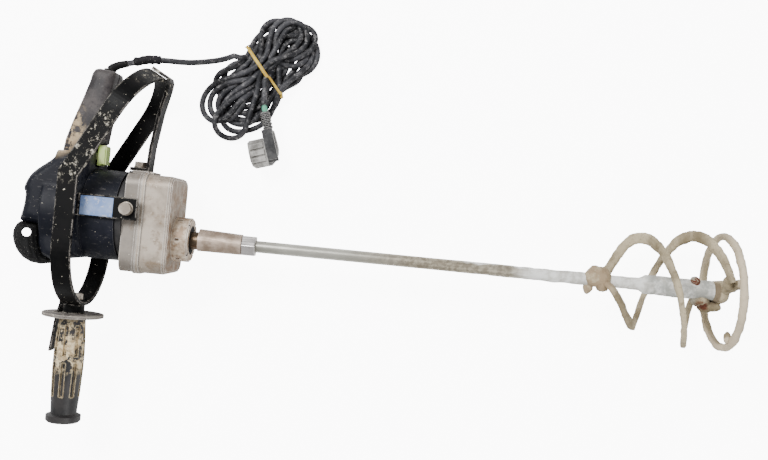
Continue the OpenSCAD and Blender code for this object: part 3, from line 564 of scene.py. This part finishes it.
def loft(rings, capped=True):
    """Vertices and faces of a tube through rings of equal count, closed by a fan of faces at each end."""
    rings = np.asarray(rings)
    count, around = rings.shape[:2]
    verts = list(rings.reshape(-1, 3))
    faces = []
    for i in range(count - 1):
        for j in range(around):
            k = (j + 1) % around
            faces.append((i * around + j, i * around + k, (i + 1) * around + k, (i + 1) * around + j))
    if capped:
        for first, flip in ((0, True), ((count - 1) * around, False)):
            centre = len(verts)
            verts.append(np.mean(verts[first:first + around], axis=0))
            for j in range(around):
                k = (j + 1) % around
                pair = (first + k, first + j) if flip else (first + j, first + k)
                faces.append((pair[0], pair[1], centre))
    return verts, faces


def crusted(rings, scale, amount, seed, growth=0.0):
    """Pushes ring points out from each ring's centre by noise, for a crust of dried mortar."""
    out = []
    for ring in np.asarray(rings, float):
        centre = ring.mean(axis=0)
        away = unit(ring - centre)
        push = lumps(ring, scale, amount, seed) + growth
        out.append(ring + away * push[:, None])
    return np.array(out)


# ---- cord

CORD_MM = 7.0
CORD_D = CORD_MM * MM
LEAD = np.array([
    (17, 192, 70), (22, 195.5, 70), (31, 199, 70), (40, 201.5, 69.5), (49, 205, 68.5), (58, 207.5, 67.5),
    (67, 208.5, 66), (76, 209, 64), (85, 209.5, 61.5), (94, 210, 58), (105, 211.5, 52.5), (115, 214, 46.5),
    (126, 217.5, 39.5), (136.5, 221.5, 33), (147, 227, 27), (156, 233, 22), (164, 239, 18.5),
    (169.5, 244.5, 17)]) * MM
TAIL = np.array([
    (190, 214, 20), (190.9, 208.5, 23.6), (191.8, 203, 26.4), (192.9, 196, 28.8), (193.8, 187, 30.4),
    (194.3, 177, 31), (195.4, 169, 31), (197.3, 162.5, 31)]) * MM
SETTLES_FROM, SETTLES_TO = LEAD[-3], TAIL[2]  # the cord keeps its given route before and after these
TIE_CENTRE = np.array((189.0, 215.5, 0.0)) * MM
TIE_ANGLE = math.radians(52.8)
TIE_AXES = np.array(((math.cos(TIE_ANGLE), math.sin(TIE_ANGLE), 0),
                     (-math.sin(TIE_ANGLE), math.cos(TIE_ANGLE), 0), (0, 0, 1)))

TURNS = 10
RISE = 4.5  # mm that each wound turn lies above the last, before they settle
CROSSED_ABOVE = (4, 8)  # turns whose strands cross between the tie and the upper fold
CROSSED_BELOW = (6, 9)  # and between the tie and the lower fold
ROUTE_SPACING, CURVE_SPACING = CORD_D * 0.72, CORD_D * 0.45  # of points while it settles, and in the end

WAIST = 28 * MM  # how far from the tie the hank is drawn in
WAIST_HALF = 32 * MM  # half its width at the tie
WAIST_TOP = 25 * MM  # its height at the tie
FOLD_SPREAD, FOLD_LIFT = 13, 12  # mm by which the half width and the height grow towards the folds
HANK_END = 100 * MM  # further from the tie than this, the cord is not in the hank
LOOSE_TOP = 40 * MM  # extra height that the turns have when they start to settle

SETTLE_STEPS, QUICK_STEPS = 320, 90
SINK, LAST_SINK = 0.00035, 0.0001  # metres that the cord sinks in a step, and in each of the last fifth
MOST_MOVE = 0.0025  # the furthest that a point moves in one step
MIN_BEND = 25 * MM  # tighter bends than this are opened
TOUCH = CORD_D * 1.01  # strands nearer than this push each other away
FLOOR_GAP = 0.0003


def to_tie(points):
    """Points in the tie's own axes: along the hank, across it and up."""
    return (np.asarray(points) - TIE_CENTRE) @ TIE_AXES.T


def from_tie(points):
    """Points given in the tie's axes, in the frame of the model."""
    return np.asarray(points) @ TIE_AXES + TIE_CENTRE


def half_turn(end, fold, lean, waist, shift, crossed, sign):
    """Half a turn, out from the tie, round a fold and back, as (along, across) pairs in mm.

    end is how far out it reaches, fold the radius of its fold, lean its slant in degrees, waist its distance
    from the middle at the tie, shift how far the fold lies to one side, and sign 1 for the upper half or -1.
    """
    straight = end - fold
    twist = -1 if crossed else 1
    out = [(straight * share, waist * (1 - share) + twist * fold * share, share) for share in (0, 0.33, 0.67)]
    back = [(s, -w, share) for s, w, share in reversed(out)]
    around = [(straight + fold * math.sin(math.radians(a)), twist * fold * math.cos(math.radians(a)), 1)
              for a in range(0, 181, 30)]
    return [(sign * s, sign * w + shift * share + s * math.tan(math.radians(lean)))
            for s, w, share in out + around + back]


def drift(i, start):
    """A value from 0 to 1 that differs well from one turn to the next."""
    return (i * 0.618 + start) % 1


def wound_turns():
    """The turns of the hank in the tie's axes, each on top of the last and most of them longer."""
    points = []
    for i in range(TURNS):
        grown = (i / (TURNS - 1)) ** 0.6
        fold = 21.5 + 1.5 * drift(i, 0)
        waist = 8 + 16 * drift(i, 0.5)
        upper_end = 46 + 30 * grown - 6 * drift(i, 0.4)
        lower_end = 56 + 38 * grown - 7 * drift(i, 0.1)
        upper_lean, lower_lean = 5 * math.sin(2.4 * i), 6 * math.sin(2.4 * i + 1.5)
        upper_shift, lower_shift = 8 * math.cos(2.1 * i), 2 + 6 * math.cos(2.9 * i + 1)
        upper = half_turn(upper_end, fold, upper_lean, waist, upper_shift, i in CROSSED_ABOVE, 1)
        lower = half_turn(lower_end, fold, lower_lean, waist, lower_shift, i in CROSSED_BELOW, -1)
        turn = upper[:-1] + lower[:-1]
        points += [(s, w, CORD_MM / 2 + RISE * (i + k / len(turn))) for k, (s, w) in enumerate(turn)]
    last = half_turn(70, 22, 0, 12, 2, True, 1)
    points += [(s, w, CORD_MM / 2 + RISE * TURNS) for s, w in last[:-2]]
    return np.array(points) * MM


def smooth_path(points, spacing):
    """Points at an even spacing along a Catmull-Rom curve through the given ones."""
    samples = 12
    p = np.vstack((2 * points[0] - points[1], points, 2 * points[-1] - points[-2]))
    dense = []
    for a, b, c, d in zip(p[:-3], p[1:-2], p[2:-1], p[3:]):
        for t in np.linspace(0, 1, samples, endpoint=False):
            dense.append(0.5 * (2 * b + (c - a) * t + (2 * a - 5 * b + 4 * c - d) * t * t
                                + (3 * b - a - 3 * c + d) * t ** 3))
    dense.append(points[-1])
    dense = np.array(dense)
    along = np.concatenate(([0], np.cumsum(np.linalg.norm(np.diff(dense, axis=0), axis=1))))
    places = np.linspace(0, along[-1], max(2, int(round(along[-1] / spacing)) + 1))
    return np.column_stack([np.interp(places, along, dense[:, k]) for k in range(3)])


def even_out(p, rest, free):
    """Draws each pair of neighbouring points to the same distance apart."""
    for _ in range(3):
        ahead = p[1:] - p[:-1]
        length = np.linalg.norm(ahead, axis=1, keepdims=True)
        fix = ahead * (1 - rest / np.maximum(length, 1e-9)) * 0.5
        p[:-1] += fix * free[:-1, None]
        p[1:] -= fix * free[1:, None]


def spring_back(p, free, stiffness):
    """Moves points against sudden changes of bend, over short and longer stretches."""
    for reach in (1, 2):
        bend = np.zeros_like(p)
        bend[2 * reach:-2 * reach] = (p[:-4 * reach] - 4 * p[reach:-3 * reach] + 6 * p[2 * reach:-2 * reach]
                                      - 4 * p[3 * reach:-reach] + p[4 * reach:]) / -16
        p += bend * stiffness * free[:, None]


def open_bends(p, rest, free):
    """Flattens stretches that bend more tightly than MIN_BEND."""
    for reach in (2, 3, 5):
        middle = (p[:-2 * reach] + p[2 * reach:]) / 2
        away = p[reach:-reach] - middle
        sag = np.linalg.norm(away, axis=1, keepdims=True)
        most = (reach * rest) ** 2 / (2 * MIN_BEND)
        fix = away * np.maximum(0, 1 - most / np.maximum(sag, 1e-9)) * 0.5
        p[reach:-reach] -= fix * free[reach:-reach, None]
        p[:-2 * reach] += 0.5 * fix * free[:-2 * reach, None]
        p[2 * reach:] += 0.5 * fix * free[2 * reach:, None]


def part_strands(p, pairs, free):
    """Pushes touching strands apart. pairs says which points, far enough along the cord, may touch."""
    gap = p[:, None, :] - p[None, :, :]
    dist = np.sqrt((gap ** 2).sum(axis=2)) + 1e-9
    a, b = np.nonzero(pairs & (dist < TOUCH))
    if len(a):
        push = gap[a, b] / dist[a, b][:, None] * ((TOUCH - dist[a, b]) * 0.45)[:, None]
        total = np.zeros_like(p)
        hits = np.zeros(len(p))
        np.add.at(total, a, push)
        np.add.at(total, b, -push)
        np.add.at(hits, a, 1)
        np.add.at(hits, b, 1)
        p += total / np.maximum(1, hits * 0.5)[:, None] * free[:, None]


def held_in(p, free, loose):
    """The points kept inside the hank's outline, which is drawn in at the tie, and above the floor."""
    local = to_tie(p)
    share = np.clip(1 - np.abs(local[:, 0]) / WAIST, 0, 1)
    inside = free & (np.abs(local[:, 0]) < HANK_END)
    limit = WAIST_HALF - CORD_D / 2 + (1 - share) * FOLD_SPREAD * MM
    local[:, 1] = np.where(inside, np.clip(local[:, 1], -limit, limit), local[:, 1])
    roof = WAIST_TOP - CORD_D / 2 + (1 - share) * FOLD_LIFT * MM + loose
    local[:, 2] = np.where(inside, np.minimum(local[:, 2], roof), local[:, 2])
    p = np.where(free[:, None], from_tie(local), p)
    p[:, 2] = np.where(free, np.maximum(p[:, 2], CORD_D / 2 + FLOOR_GAP), p[:, 2])
    return p


def settled(path, fixed, steps):
    """Lets the wound turns sink onto each other and the floor, and keeps the cord even and gently bent."""
    p = path.copy()
    count = len(p)
    rest = np.linalg.norm(np.diff(p, axis=0), axis=1).mean()
    free = np.ones(count, bool)
    free[fixed] = False
    index = np.arange(count)
    apart = np.abs(index[:, None] - index[None, :]) > int(2.2 * CORD_D / rest) + 1
    pairs = np.triu(np.ones((count, count), bool), 1) & apart
    for step in range(steps):
        before = p.copy()
        done = step / steps
        p[free, 2] -= SINK if done < 0.8 else LAST_SINK
        even_out(p, rest, free)
        spring_back(p, free, 0.6 if done < 0.75 else 0.35)
        open_bends(p, rest, free)
        part_strands(p, pairs, free)
        p = held_in(p, free, LOOSE_TOP * max(0, 1 - 1.5 * done))
        moved = p - before
        size = np.linalg.norm(moved, axis=1, keepdims=True)
        p = before + moved * np.minimum(1, MOST_MOVE / np.maximum(size, 1e-9))
    return p


def cord_line():
    """The whole cord from the gland to the plug's strain relief, with its hank settled."""
    joins_at = 3  # the lead meets the first turn at its fold, so the turn's start is left out
    whole = np.vstack((LEAD, from_tie(wound_turns())[joins_at:], TAIL))
    path = smooth_path(whole, ROUTE_SPACING)
    lead_end = int(np.argmin(np.linalg.norm(path - SETTLES_FROM, axis=1)))
    tail_start = len(path) - 1 - int(np.argmin(np.linalg.norm(path[::-1] - SETTLES_TO, axis=1)))
    fixed = np.r_[0:lead_end, tail_start:len(path)]
    line = settled(path, fixed, SETTLE_STEPS)
    for _ in range(3):
        before, after = line[lead_end - 1:tail_start - 1], line[lead_end + 1:tail_start + 1]
        line[lead_end:tail_start] += 0.25 * (before + after - 2 * line[lead_end:tail_start])
    return line


def add_cord():
    """The cord as one curve. Returns it with its points and its length."""
    fine = smooth_path(cord_line(), CURVE_SPACING)
    curve = bpy.data.curves.new("mains_cord", "CURVE")
    curve.dimensions = "3D"
    curve.bevel_depth = CORD_D / 2
    curve.bevel_resolution = 4
    curve.use_fill_caps = True
    spline = curve.splines.new("POLY")
    spline.points.add(len(fine) - 1)
    for point, place in zip(spline.points, fine):
        point.co = (*place, 1)
    spline.use_smooth = True
    cord = bpy.data.objects.new("mains_cord", curve)
    bpy.context.collection.objects.link(cord)
    dressed(cord, "mixer_body", "cord_rubber", ("cord_lead", "cord_hank", "cord_tail"))
    length = float(np.linalg.norm(np.diff(fine, axis=0), axis=1).sum())
    return cord, fine, length


BAND_ANGLE = math.radians(-51.2)  # the band slants a little across the hank
BAND_POINTS = 72
BAND_SLICE = 3 * MM  # the strands that the band goes round are looked for this near to it
BAND_REACH = 45 * MM  # and no further out or up than this
BAND_HALF, BAND_THICK = 0.0017, 0.0006
BAND_SWAY = 0.0022  # how far the band wanders along the hank


def add_tie(line):
    """A rubber band drawn tight round the strands at the hank's waist."""
    across = np.array((math.cos(BAND_ANGLE), math.sin(BAND_ANGLE), 0))
    along = np.array((-math.sin(BAND_ANGLE), math.cos(BAND_ANGLE), 0))
    near = line[(np.abs((line - TIE_CENTRE) @ along) < BAND_SLICE) & (line[:, 2] < BAND_REACH)]
    flat = np.column_stack(((near - TIE_CENTRE) @ across, near[:, 2]))
    flat = flat[np.abs(flat[:, 0]) < BAND_REACH]
    turn = angles(BAND_POINTS)
    facing = np.column_stack((np.cos(turn), np.sin(turn)))
    reach = (flat @ facing.T).max(axis=0) + CORD_D / 2 + BAND_THICK
    corners = []  # where neighbouring straight lines that just touch the strands cross
    for i in range(BAND_POINTS):
        j = (i + 1) % BAND_POINTS
        corners.append(np.linalg.solve(np.array((facing[i], facing[j])), (reach[i], reach[j])))
    corners = np.array(corners)
    corners[:, 1] = np.maximum(corners[:, 1], 0.0008)
    mid_u, mid_z = corners.mean(axis=0)
    rings = []
    for i, (u, z) in enumerate(corners):
        sway = BAND_SWAY * math.sin(i / BAND_POINTS * 4 * math.pi)
        middle = TIE_CENTRE + across * u + np.array((0, 0, z)) + along * sway
        out = unit(across * (u - mid_u) + np.array((0, 0, z - mid_z)))
        half = (BAND_HALF + 0.0004 * math.sin(i * 0.7)) * along
        thick = BAND_THICK * out
        rings.append([middle + half - thick * 0.2, middle + half + thick, middle - half + thick,
                      middle - half - thick * 0.2])
    verts, faces = loft(rings + [rings[0]], capped=False)
    return shown("hank_band", verts, faces, "mixer_body", "tie_band", ("hank_tie",))


TAPED = np.array([
    (43, 202.7, 69.2), (49, 205, 68.5), (58, 207.5, 67.5), (67, 208.5, 66), (73, 208.8, 64.7)]) * MM
TAPE_STEP = 0.5  # mm between the rings of the tape's mesh
TAPE_WIDTH = 7.5  # mm that each turn of tape advances along the cord
TAPE_R, TAPE_GROWTH = 4.1, 0.7  # mm: its radius at the ends, and what the wrap and each lap add to it


def add_tape():
    """Tape wound round the lead where it leaves the machine, in overlapping turns."""
    path = smooth_path(TAPED, TAPE_STEP * MM)
    ahead = directions(path)
    rings = []
    for k, place in enumerate(path):
        side, up = square_to(ahead[k], (0, 0, 1))
        end = min(1, k / 3, (len(path) - 1 - k) / 3)
        ring = []
        for b in angles(28):
            lap = (k * TAPE_STEP / TAPE_WIDTH + b / (2 * math.pi)) % 1
            radius = TAPE_R + end * (TAPE_GROWTH + TAPE_GROWTH * lap)
            ring.append(place + (side * math.cos(b) + up * math.sin(b)) * radius * MM)
        rings.append(ring)
    verts, faces = loft(crusted(rings, 120, 0.0005, 21.0))
    return shown("tape_wrap", verts, faces, "mixer_body", "tape", ("cord_sleeve",))


# ---- paddle

RING_X, RING_R, RING_BAR = 0.760, 0.070, 0.0095  # its plane, outer radius and the bar's diameter
RING_CENTRE = np.array((RING_X, 0, AXIS_Z))
RING_LEAN = math.radians(4)
BLADE_W, BLADE_T = 0.013, 0.006
BLADE_START, BLADE_STOP = -75, 258  # degrees, from the shaft to the ring
BLADE_WIDE_X = 658  # mm along the shaft at 0 degrees, where a blade's root ends
BLADE_ROOT, BLADE_QUARTER = 38, 31  # mm along the shaft in the root, and in each quarter turn after it
BLADE_NECK = 8  # mm from the axis where a blade leaves the shaft
BLADE_INSET = 7  # mm that its last stretch lies inside the ring's radius


def blade_point(t, phase, first):
    """The blade's middle line at t degrees: first is its distance from the axis at 0 degrees, in mm."""
    wide = RING_R / MM - BLADE_INSET
    x = BLADE_WIDE_X + (t / -BLADE_START * BLADE_ROOT if t < 0 else t / 90 * BLADE_QUARTER)
    full = first + (wide - first) * min(1, max(0, t) / 180)
    grow = math.sin(math.radians((t - BLADE_START) / -BLADE_START * 90)) if t < 0 else 1
    r = BLADE_NECK + (full - BLADE_NECK) * grow
    a = math.radians(t + phase)
    return np.array((x, r * math.cos(a), AXIS_Z / MM + r * math.sin(a))) * MM


def add_blade(name, node, phase, first, seed):
    """A flat bar on edge along its helix, under an uneven crust."""
    steps = np.linspace(BLADE_START, BLADE_STOP, 190)
    line = np.array([blade_point(t, phase, first) for t in steps])
    ahead = directions(line)
    rings = []
    for k, t in enumerate(steps):
        a = math.radians(t + phase)
        side, up = square_to(ahead[k], (0, math.cos(a), math.sin(a)))
        ring = []
        for b in angles(20):
            wide, thick = squarish(b, 0.55, 0.6)
            ring.append(line[k] + up * wide * BLADE_W / 2 + side * thick * BLADE_T / 2)
        rings.append(ring)
    rings = crusted(rings, 70, 0.0011, seed, 0.0002)
    rings = crusted(rings, 300, 0.0004, seed + 3)
    verts, faces = loft(rings)
    shown(name, verts, faces, "paddle", "paddle_mortar", (node,))


def leaning(v):
    """A direction turned with the ring, which stands a few degrees off square to the shaft."""
    x, y, z = v
    return np.array((x * math.cos(RING_LEAN) - y * math.sin(RING_LEAN),
                     x * math.sin(RING_LEAN) + y * math.cos(RING_LEAN), z))


def add_ring():
    """The round bar bent to a ring, under mortar, just clear of the floor."""
    rings = []
    for a in angles(220):
        out = leaning((0, math.cos(a), math.sin(a)))
        middle = RING_CENTRE + out * (RING_R - RING_BAR / 2)
        rings.append([middle + RING_BAR / 2 * (out * math.cos(b) + leaning((1, 0, 0)) * math.sin(b))
                      for b in angles(18)])
    rings = crusted(rings, 60, 0.0009, 5.0, -0.0001)
    rings = crusted(rings, 260, 0.0004, 8.0)
    rings[:, :, 2] = np.maximum(rings[:, :, 2], 0.0002)
    verts, faces = loft(list(rings) + [rings[0]], capped=False)
    shown("paddle_ring", verts, faces, "paddle", "paddle_mortar", ("ring",))


def turned(profile, around=32):
    """Rings of a shape turned about the shaft axis, from (x, radius) pairs."""
    return [[(x, r * math.cos(b), AXIS_Z + r * math.sin(b)) for b in angles(around)] for x, r in profile]


SHAFT_START = 0.168
SHAFT_R, THICK_R = 0.007, 0.0108  # of the bar, and of its thick end
THICK_X, THICK_RAMP = 0.661, 0.006  # where the bar starts to widen, and over what length


def shaft_radius(x):
    """The bar's radius, which widens to the thick end over a short ramp."""
    share = max(0, (x - THICK_X) / THICK_RAMP)
    return min(THICK_R, SHAFT_R + share * (THICK_R - SHAFT_R))


def add_shaft():
    """The bar, with its crust growing towards the paddle, then its thick end."""
    xs = np.concatenate((np.linspace(SHAFT_START, 0.40, 60), np.linspace(0.402, RING_X, 240)))
    rings = np.array(turned([(x, shaft_radius(x)) for x in xs]))
    for k, x in enumerate(xs):
        nearer = min(1, max(0, (x - 0.42) / 0.12))
        crust = 0.0009 * nearer + (0.0004 if x > THICK_X else 0)
        rough = lumps(rings[k] * (0.5, 1, 1), 90, crust, 2.0)
        away = unit(rings[k] - (x, 0, AXIS_Z))
        rings[k] += away * (rough + crust * 0.35)[:, None]
    verts, faces = loft(rings)
    shown("shaft_bar", verts, faces, "paddle", "shaft_zinc", ("mixer_shaft",))


CROSSBAR_ANGLE = math.radians(77)
CROSSBAR_HALF = 0.062
CROSSBAR_W, CROSSBAR_T = 0.010, 0.008
HUB_PROFILE = ((-0.0125, 0.0095), (-0.012, 0.0125), (-0.006, 0.0135), (0, 0.0137), (0.004, 0.0125),
               (0.0052, 0.009), (0.0055, 0.003))  # x from the ring's plane, and radius


def add_crossbar():
    """The flat bar across the ring and the lump of its hub, both under mortar."""
    out = leaning((0, math.cos(CROSSBAR_ANGLE), math.sin(CROSSBAR_ANGLE)))
    side = leaning((0, -math.sin(CROSSBAR_ANGLE), math.cos(CROSSBAR_ANGLE)))
    rings = []
    for u in np.linspace(-CROSSBAR_HALF, CROSSBAR_HALF, 90):
        middle = RING_CENTRE + out * u
        ring = []
        for b in angles(20):
            wide, thick = squarish(b, 0.5, 0.5)
            ring.append(middle + leaning((1, 0, 0)) * wide * CROSSBAR_W / 2 + side * thick * CROSSBAR_T / 2)
        rings.append(ring)
    verts, faces = loft(crusted(rings, 80, 0.0016, 11.0, 0.0006))
    shown("ring_bar_across", verts, faces, "paddle", "paddle_mortar", ("ring_crossbar",))
    rings = turned([(RING_X + x, r) for x, r in HUB_PROFILE], 40)
    verts, faces = loft(crusted(rings, 90, 0.0016, 13.0))
    shown("ring_hub", verts, faces, "paddle", "paddle_mortar")


def blob(centre, size, seed):
    """Rings of a lumpy closed lump of mortar: size is its half length along each axis."""
    layers = 16
    rings = []
    for i in range(1, layers):
        lat = math.pi * i / layers - math.pi / 2
        rings.append([np.array(centre) + np.array(size) * (
            math.sin(lat), math.cos(lat) * math.cos(b), math.cos(lat) * math.sin(b)) for b in angles(26)])
    return crusted(crusted(rings, 70, 0.30 * min(size), seed), 260, 0.10 * min(size), seed + 0.5)


CLODS = (  # centre, half lengths, seed
    ((0.6085, 0.003, 0.072), (0.013, 0.0125, 0.012), 1.0),
    ((0.6180, 0.001, 0.071), (0.010, 0.0150, 0.012), 2.0),
    ((0.6020, -0.010, 0.067), (0.006, 0.0080, 0.006), 2.6),
    ((0.7250, 0.010, 0.076), (0.006, 0.0055, 0.006), 4.6),
    ((0.7350, -0.013, 0.068), (0.011, 0.0080, 0.010), 5.0),
    ((0.7480, -0.019, 0.064), (0.014, 0.0080, 0.010), 6.0),
    ((0.7510, 0.012, 0.112), (0.007, 0.0080, 0.010), 7.0),
    ((0.7530, -0.014, 0.028), (0.007, 0.0090, 0.010), 8.0),
    ((0.7580, -0.050, 0.103), (0.004, 0.0075, 0.0045), 9.0),
)


def add_clods():
    """Dried lumps where the mortar gathers: at the blade roots, on the thick shaft and in the ring."""
    for number, (centre, size, seed) in enumerate(CLODS):
        verts, faces = loft(blob(centre, size, seed))
        shown("mortar_clod_%02d" % number, verts, faces, "paddle", "paddle_mortar")


# ---- trigger spring

SPRING_START, SPRING_END = -0.0046, 0.0080
SPRING_Y = 0.088
SPRING_R, SPRING_WIRE_R = 0.003, 0.00045
SPRING_TURNS, SPRING_STEPS = 6, 24


def add_spring():
    """A wire coil between the grip and the trigger."""
    count = SPRING_TURNS * SPRING_STEPS
    line = []
    for k in range(count + 1):
        a = 2 * math.pi * k / SPRING_STEPS
        line.append((SPRING_START + (SPRING_END - SPRING_START) * k / count,
                     SPRING_Y + SPRING_R * math.cos(a), AXIS_Z + SPRING_R * math.sin(a)))
    rings = []
    for place, ahead in zip(np.array(line), directions(line)):
        side, up = square_to(ahead, (1, 0, 0))
        rings.append([place + (side * math.cos(b) + up * math.sin(b)) * SPRING_WIRE_R for b in angles(10)])
    verts, faces = loft(rings)
    coil = shown("trigger_coil", verts, faces, "mixer_body", "spring_steel", ("trigger_spring",))
    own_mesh(coil)


# ---- CAD nodes kept as they are, with rounded edges and materials

def dress_nodes():
    """Gives every CAD node the material of its slot."""
    slots = {part["node"]: part["material_slot"] for part in frame["record"]["subparts"]}
    for name, obj in NODES.items():
        obj.data.materials.clear()
        obj.data.materials.append(MATERIALS[slots[name]])


def round_edges(name, width):
    """Rounds a node's sharp edges, after welding the points that its faces repeat."""
    obj = NODES[name]
    weld = obj.modifiers.new("weld", "WELD")
    weld.merge_threshold = 0.00002
    bevel = obj.modifiers.new("round", "BEVEL")
    bevel.width = width
    bevel.segments = 2
    bevel.limit_method = "ANGLE"
    bevel.angle_limit = math.radians(35)
    bevel.use_clamp_overlap = True
    normals = obj.modifiers.new("normals", "WEIGHTED_NORMAL")
    normals.keep_sharp = True


def smooth_cast(name, voxel):
    """Melts a moulding's steps into one rounded skin."""
    obj = NODES[name]
    skin = obj.modifiers.new("skin", "REMESH")
    skin.mode = "VOXEL"
    skin.voxel_size = voxel
    skin.use_smooth_shade = True
    melt = obj.modifiers.new("melt", "SMOOTH")
    melt.factor = 0.5
    melt.iterations = 14


ROUNDED = {  # node: width of its rounded edges
    "guard_hoop": 0.0006, "guard_leg": 0.0006, "side_bracket_near": 0.0005, "side_bracket_far": 0.0005,
    "gearcase_rear": 0.0012, "gearcase_front": 0.0014, "nose_collar": 0.0006, "motor_housing": 0.001,
    "bearing_shield": 0.001, "lock_nut": 0.0008, "adaptor_sleeve": 0.0006, "aux_grip": 0.0007,
    "hand_guard": 0.0008, "aux_stub": 0.0006, "leg_bolt": 0.0006, "bracket_bolts": 0.0006,
    "trigger": 0.0015, "stay_strip": 0.0005,
}
MELTED = ("handle_shell_near", "handle_shell_far", "rear_cap")
VOXEL, QUICK_VOXEL = 1.1 * MM, 1.6 * MM


# ---- the scene

MATERIALS = make_materials()
add_surroundings()
add_camera()
dress_nodes()
cord, cord_path, cord_length = add_cord()
band = add_tie(cord_path)
tape = add_tape()
for node_name, width in ROUNDED.items():
    round_edges(node_name, width)
for node_name in MELTED:
    smooth_cast(node_name, VOXEL)
add_blade("blade_near", "blade_first", phase=0, first=54, seed=1.0)
add_blade("blade_far", "blade_second", phase=180, first=48, seed=4.0)
add_ring()
add_shaft()
add_crossbar()
add_clods()
add_spring()
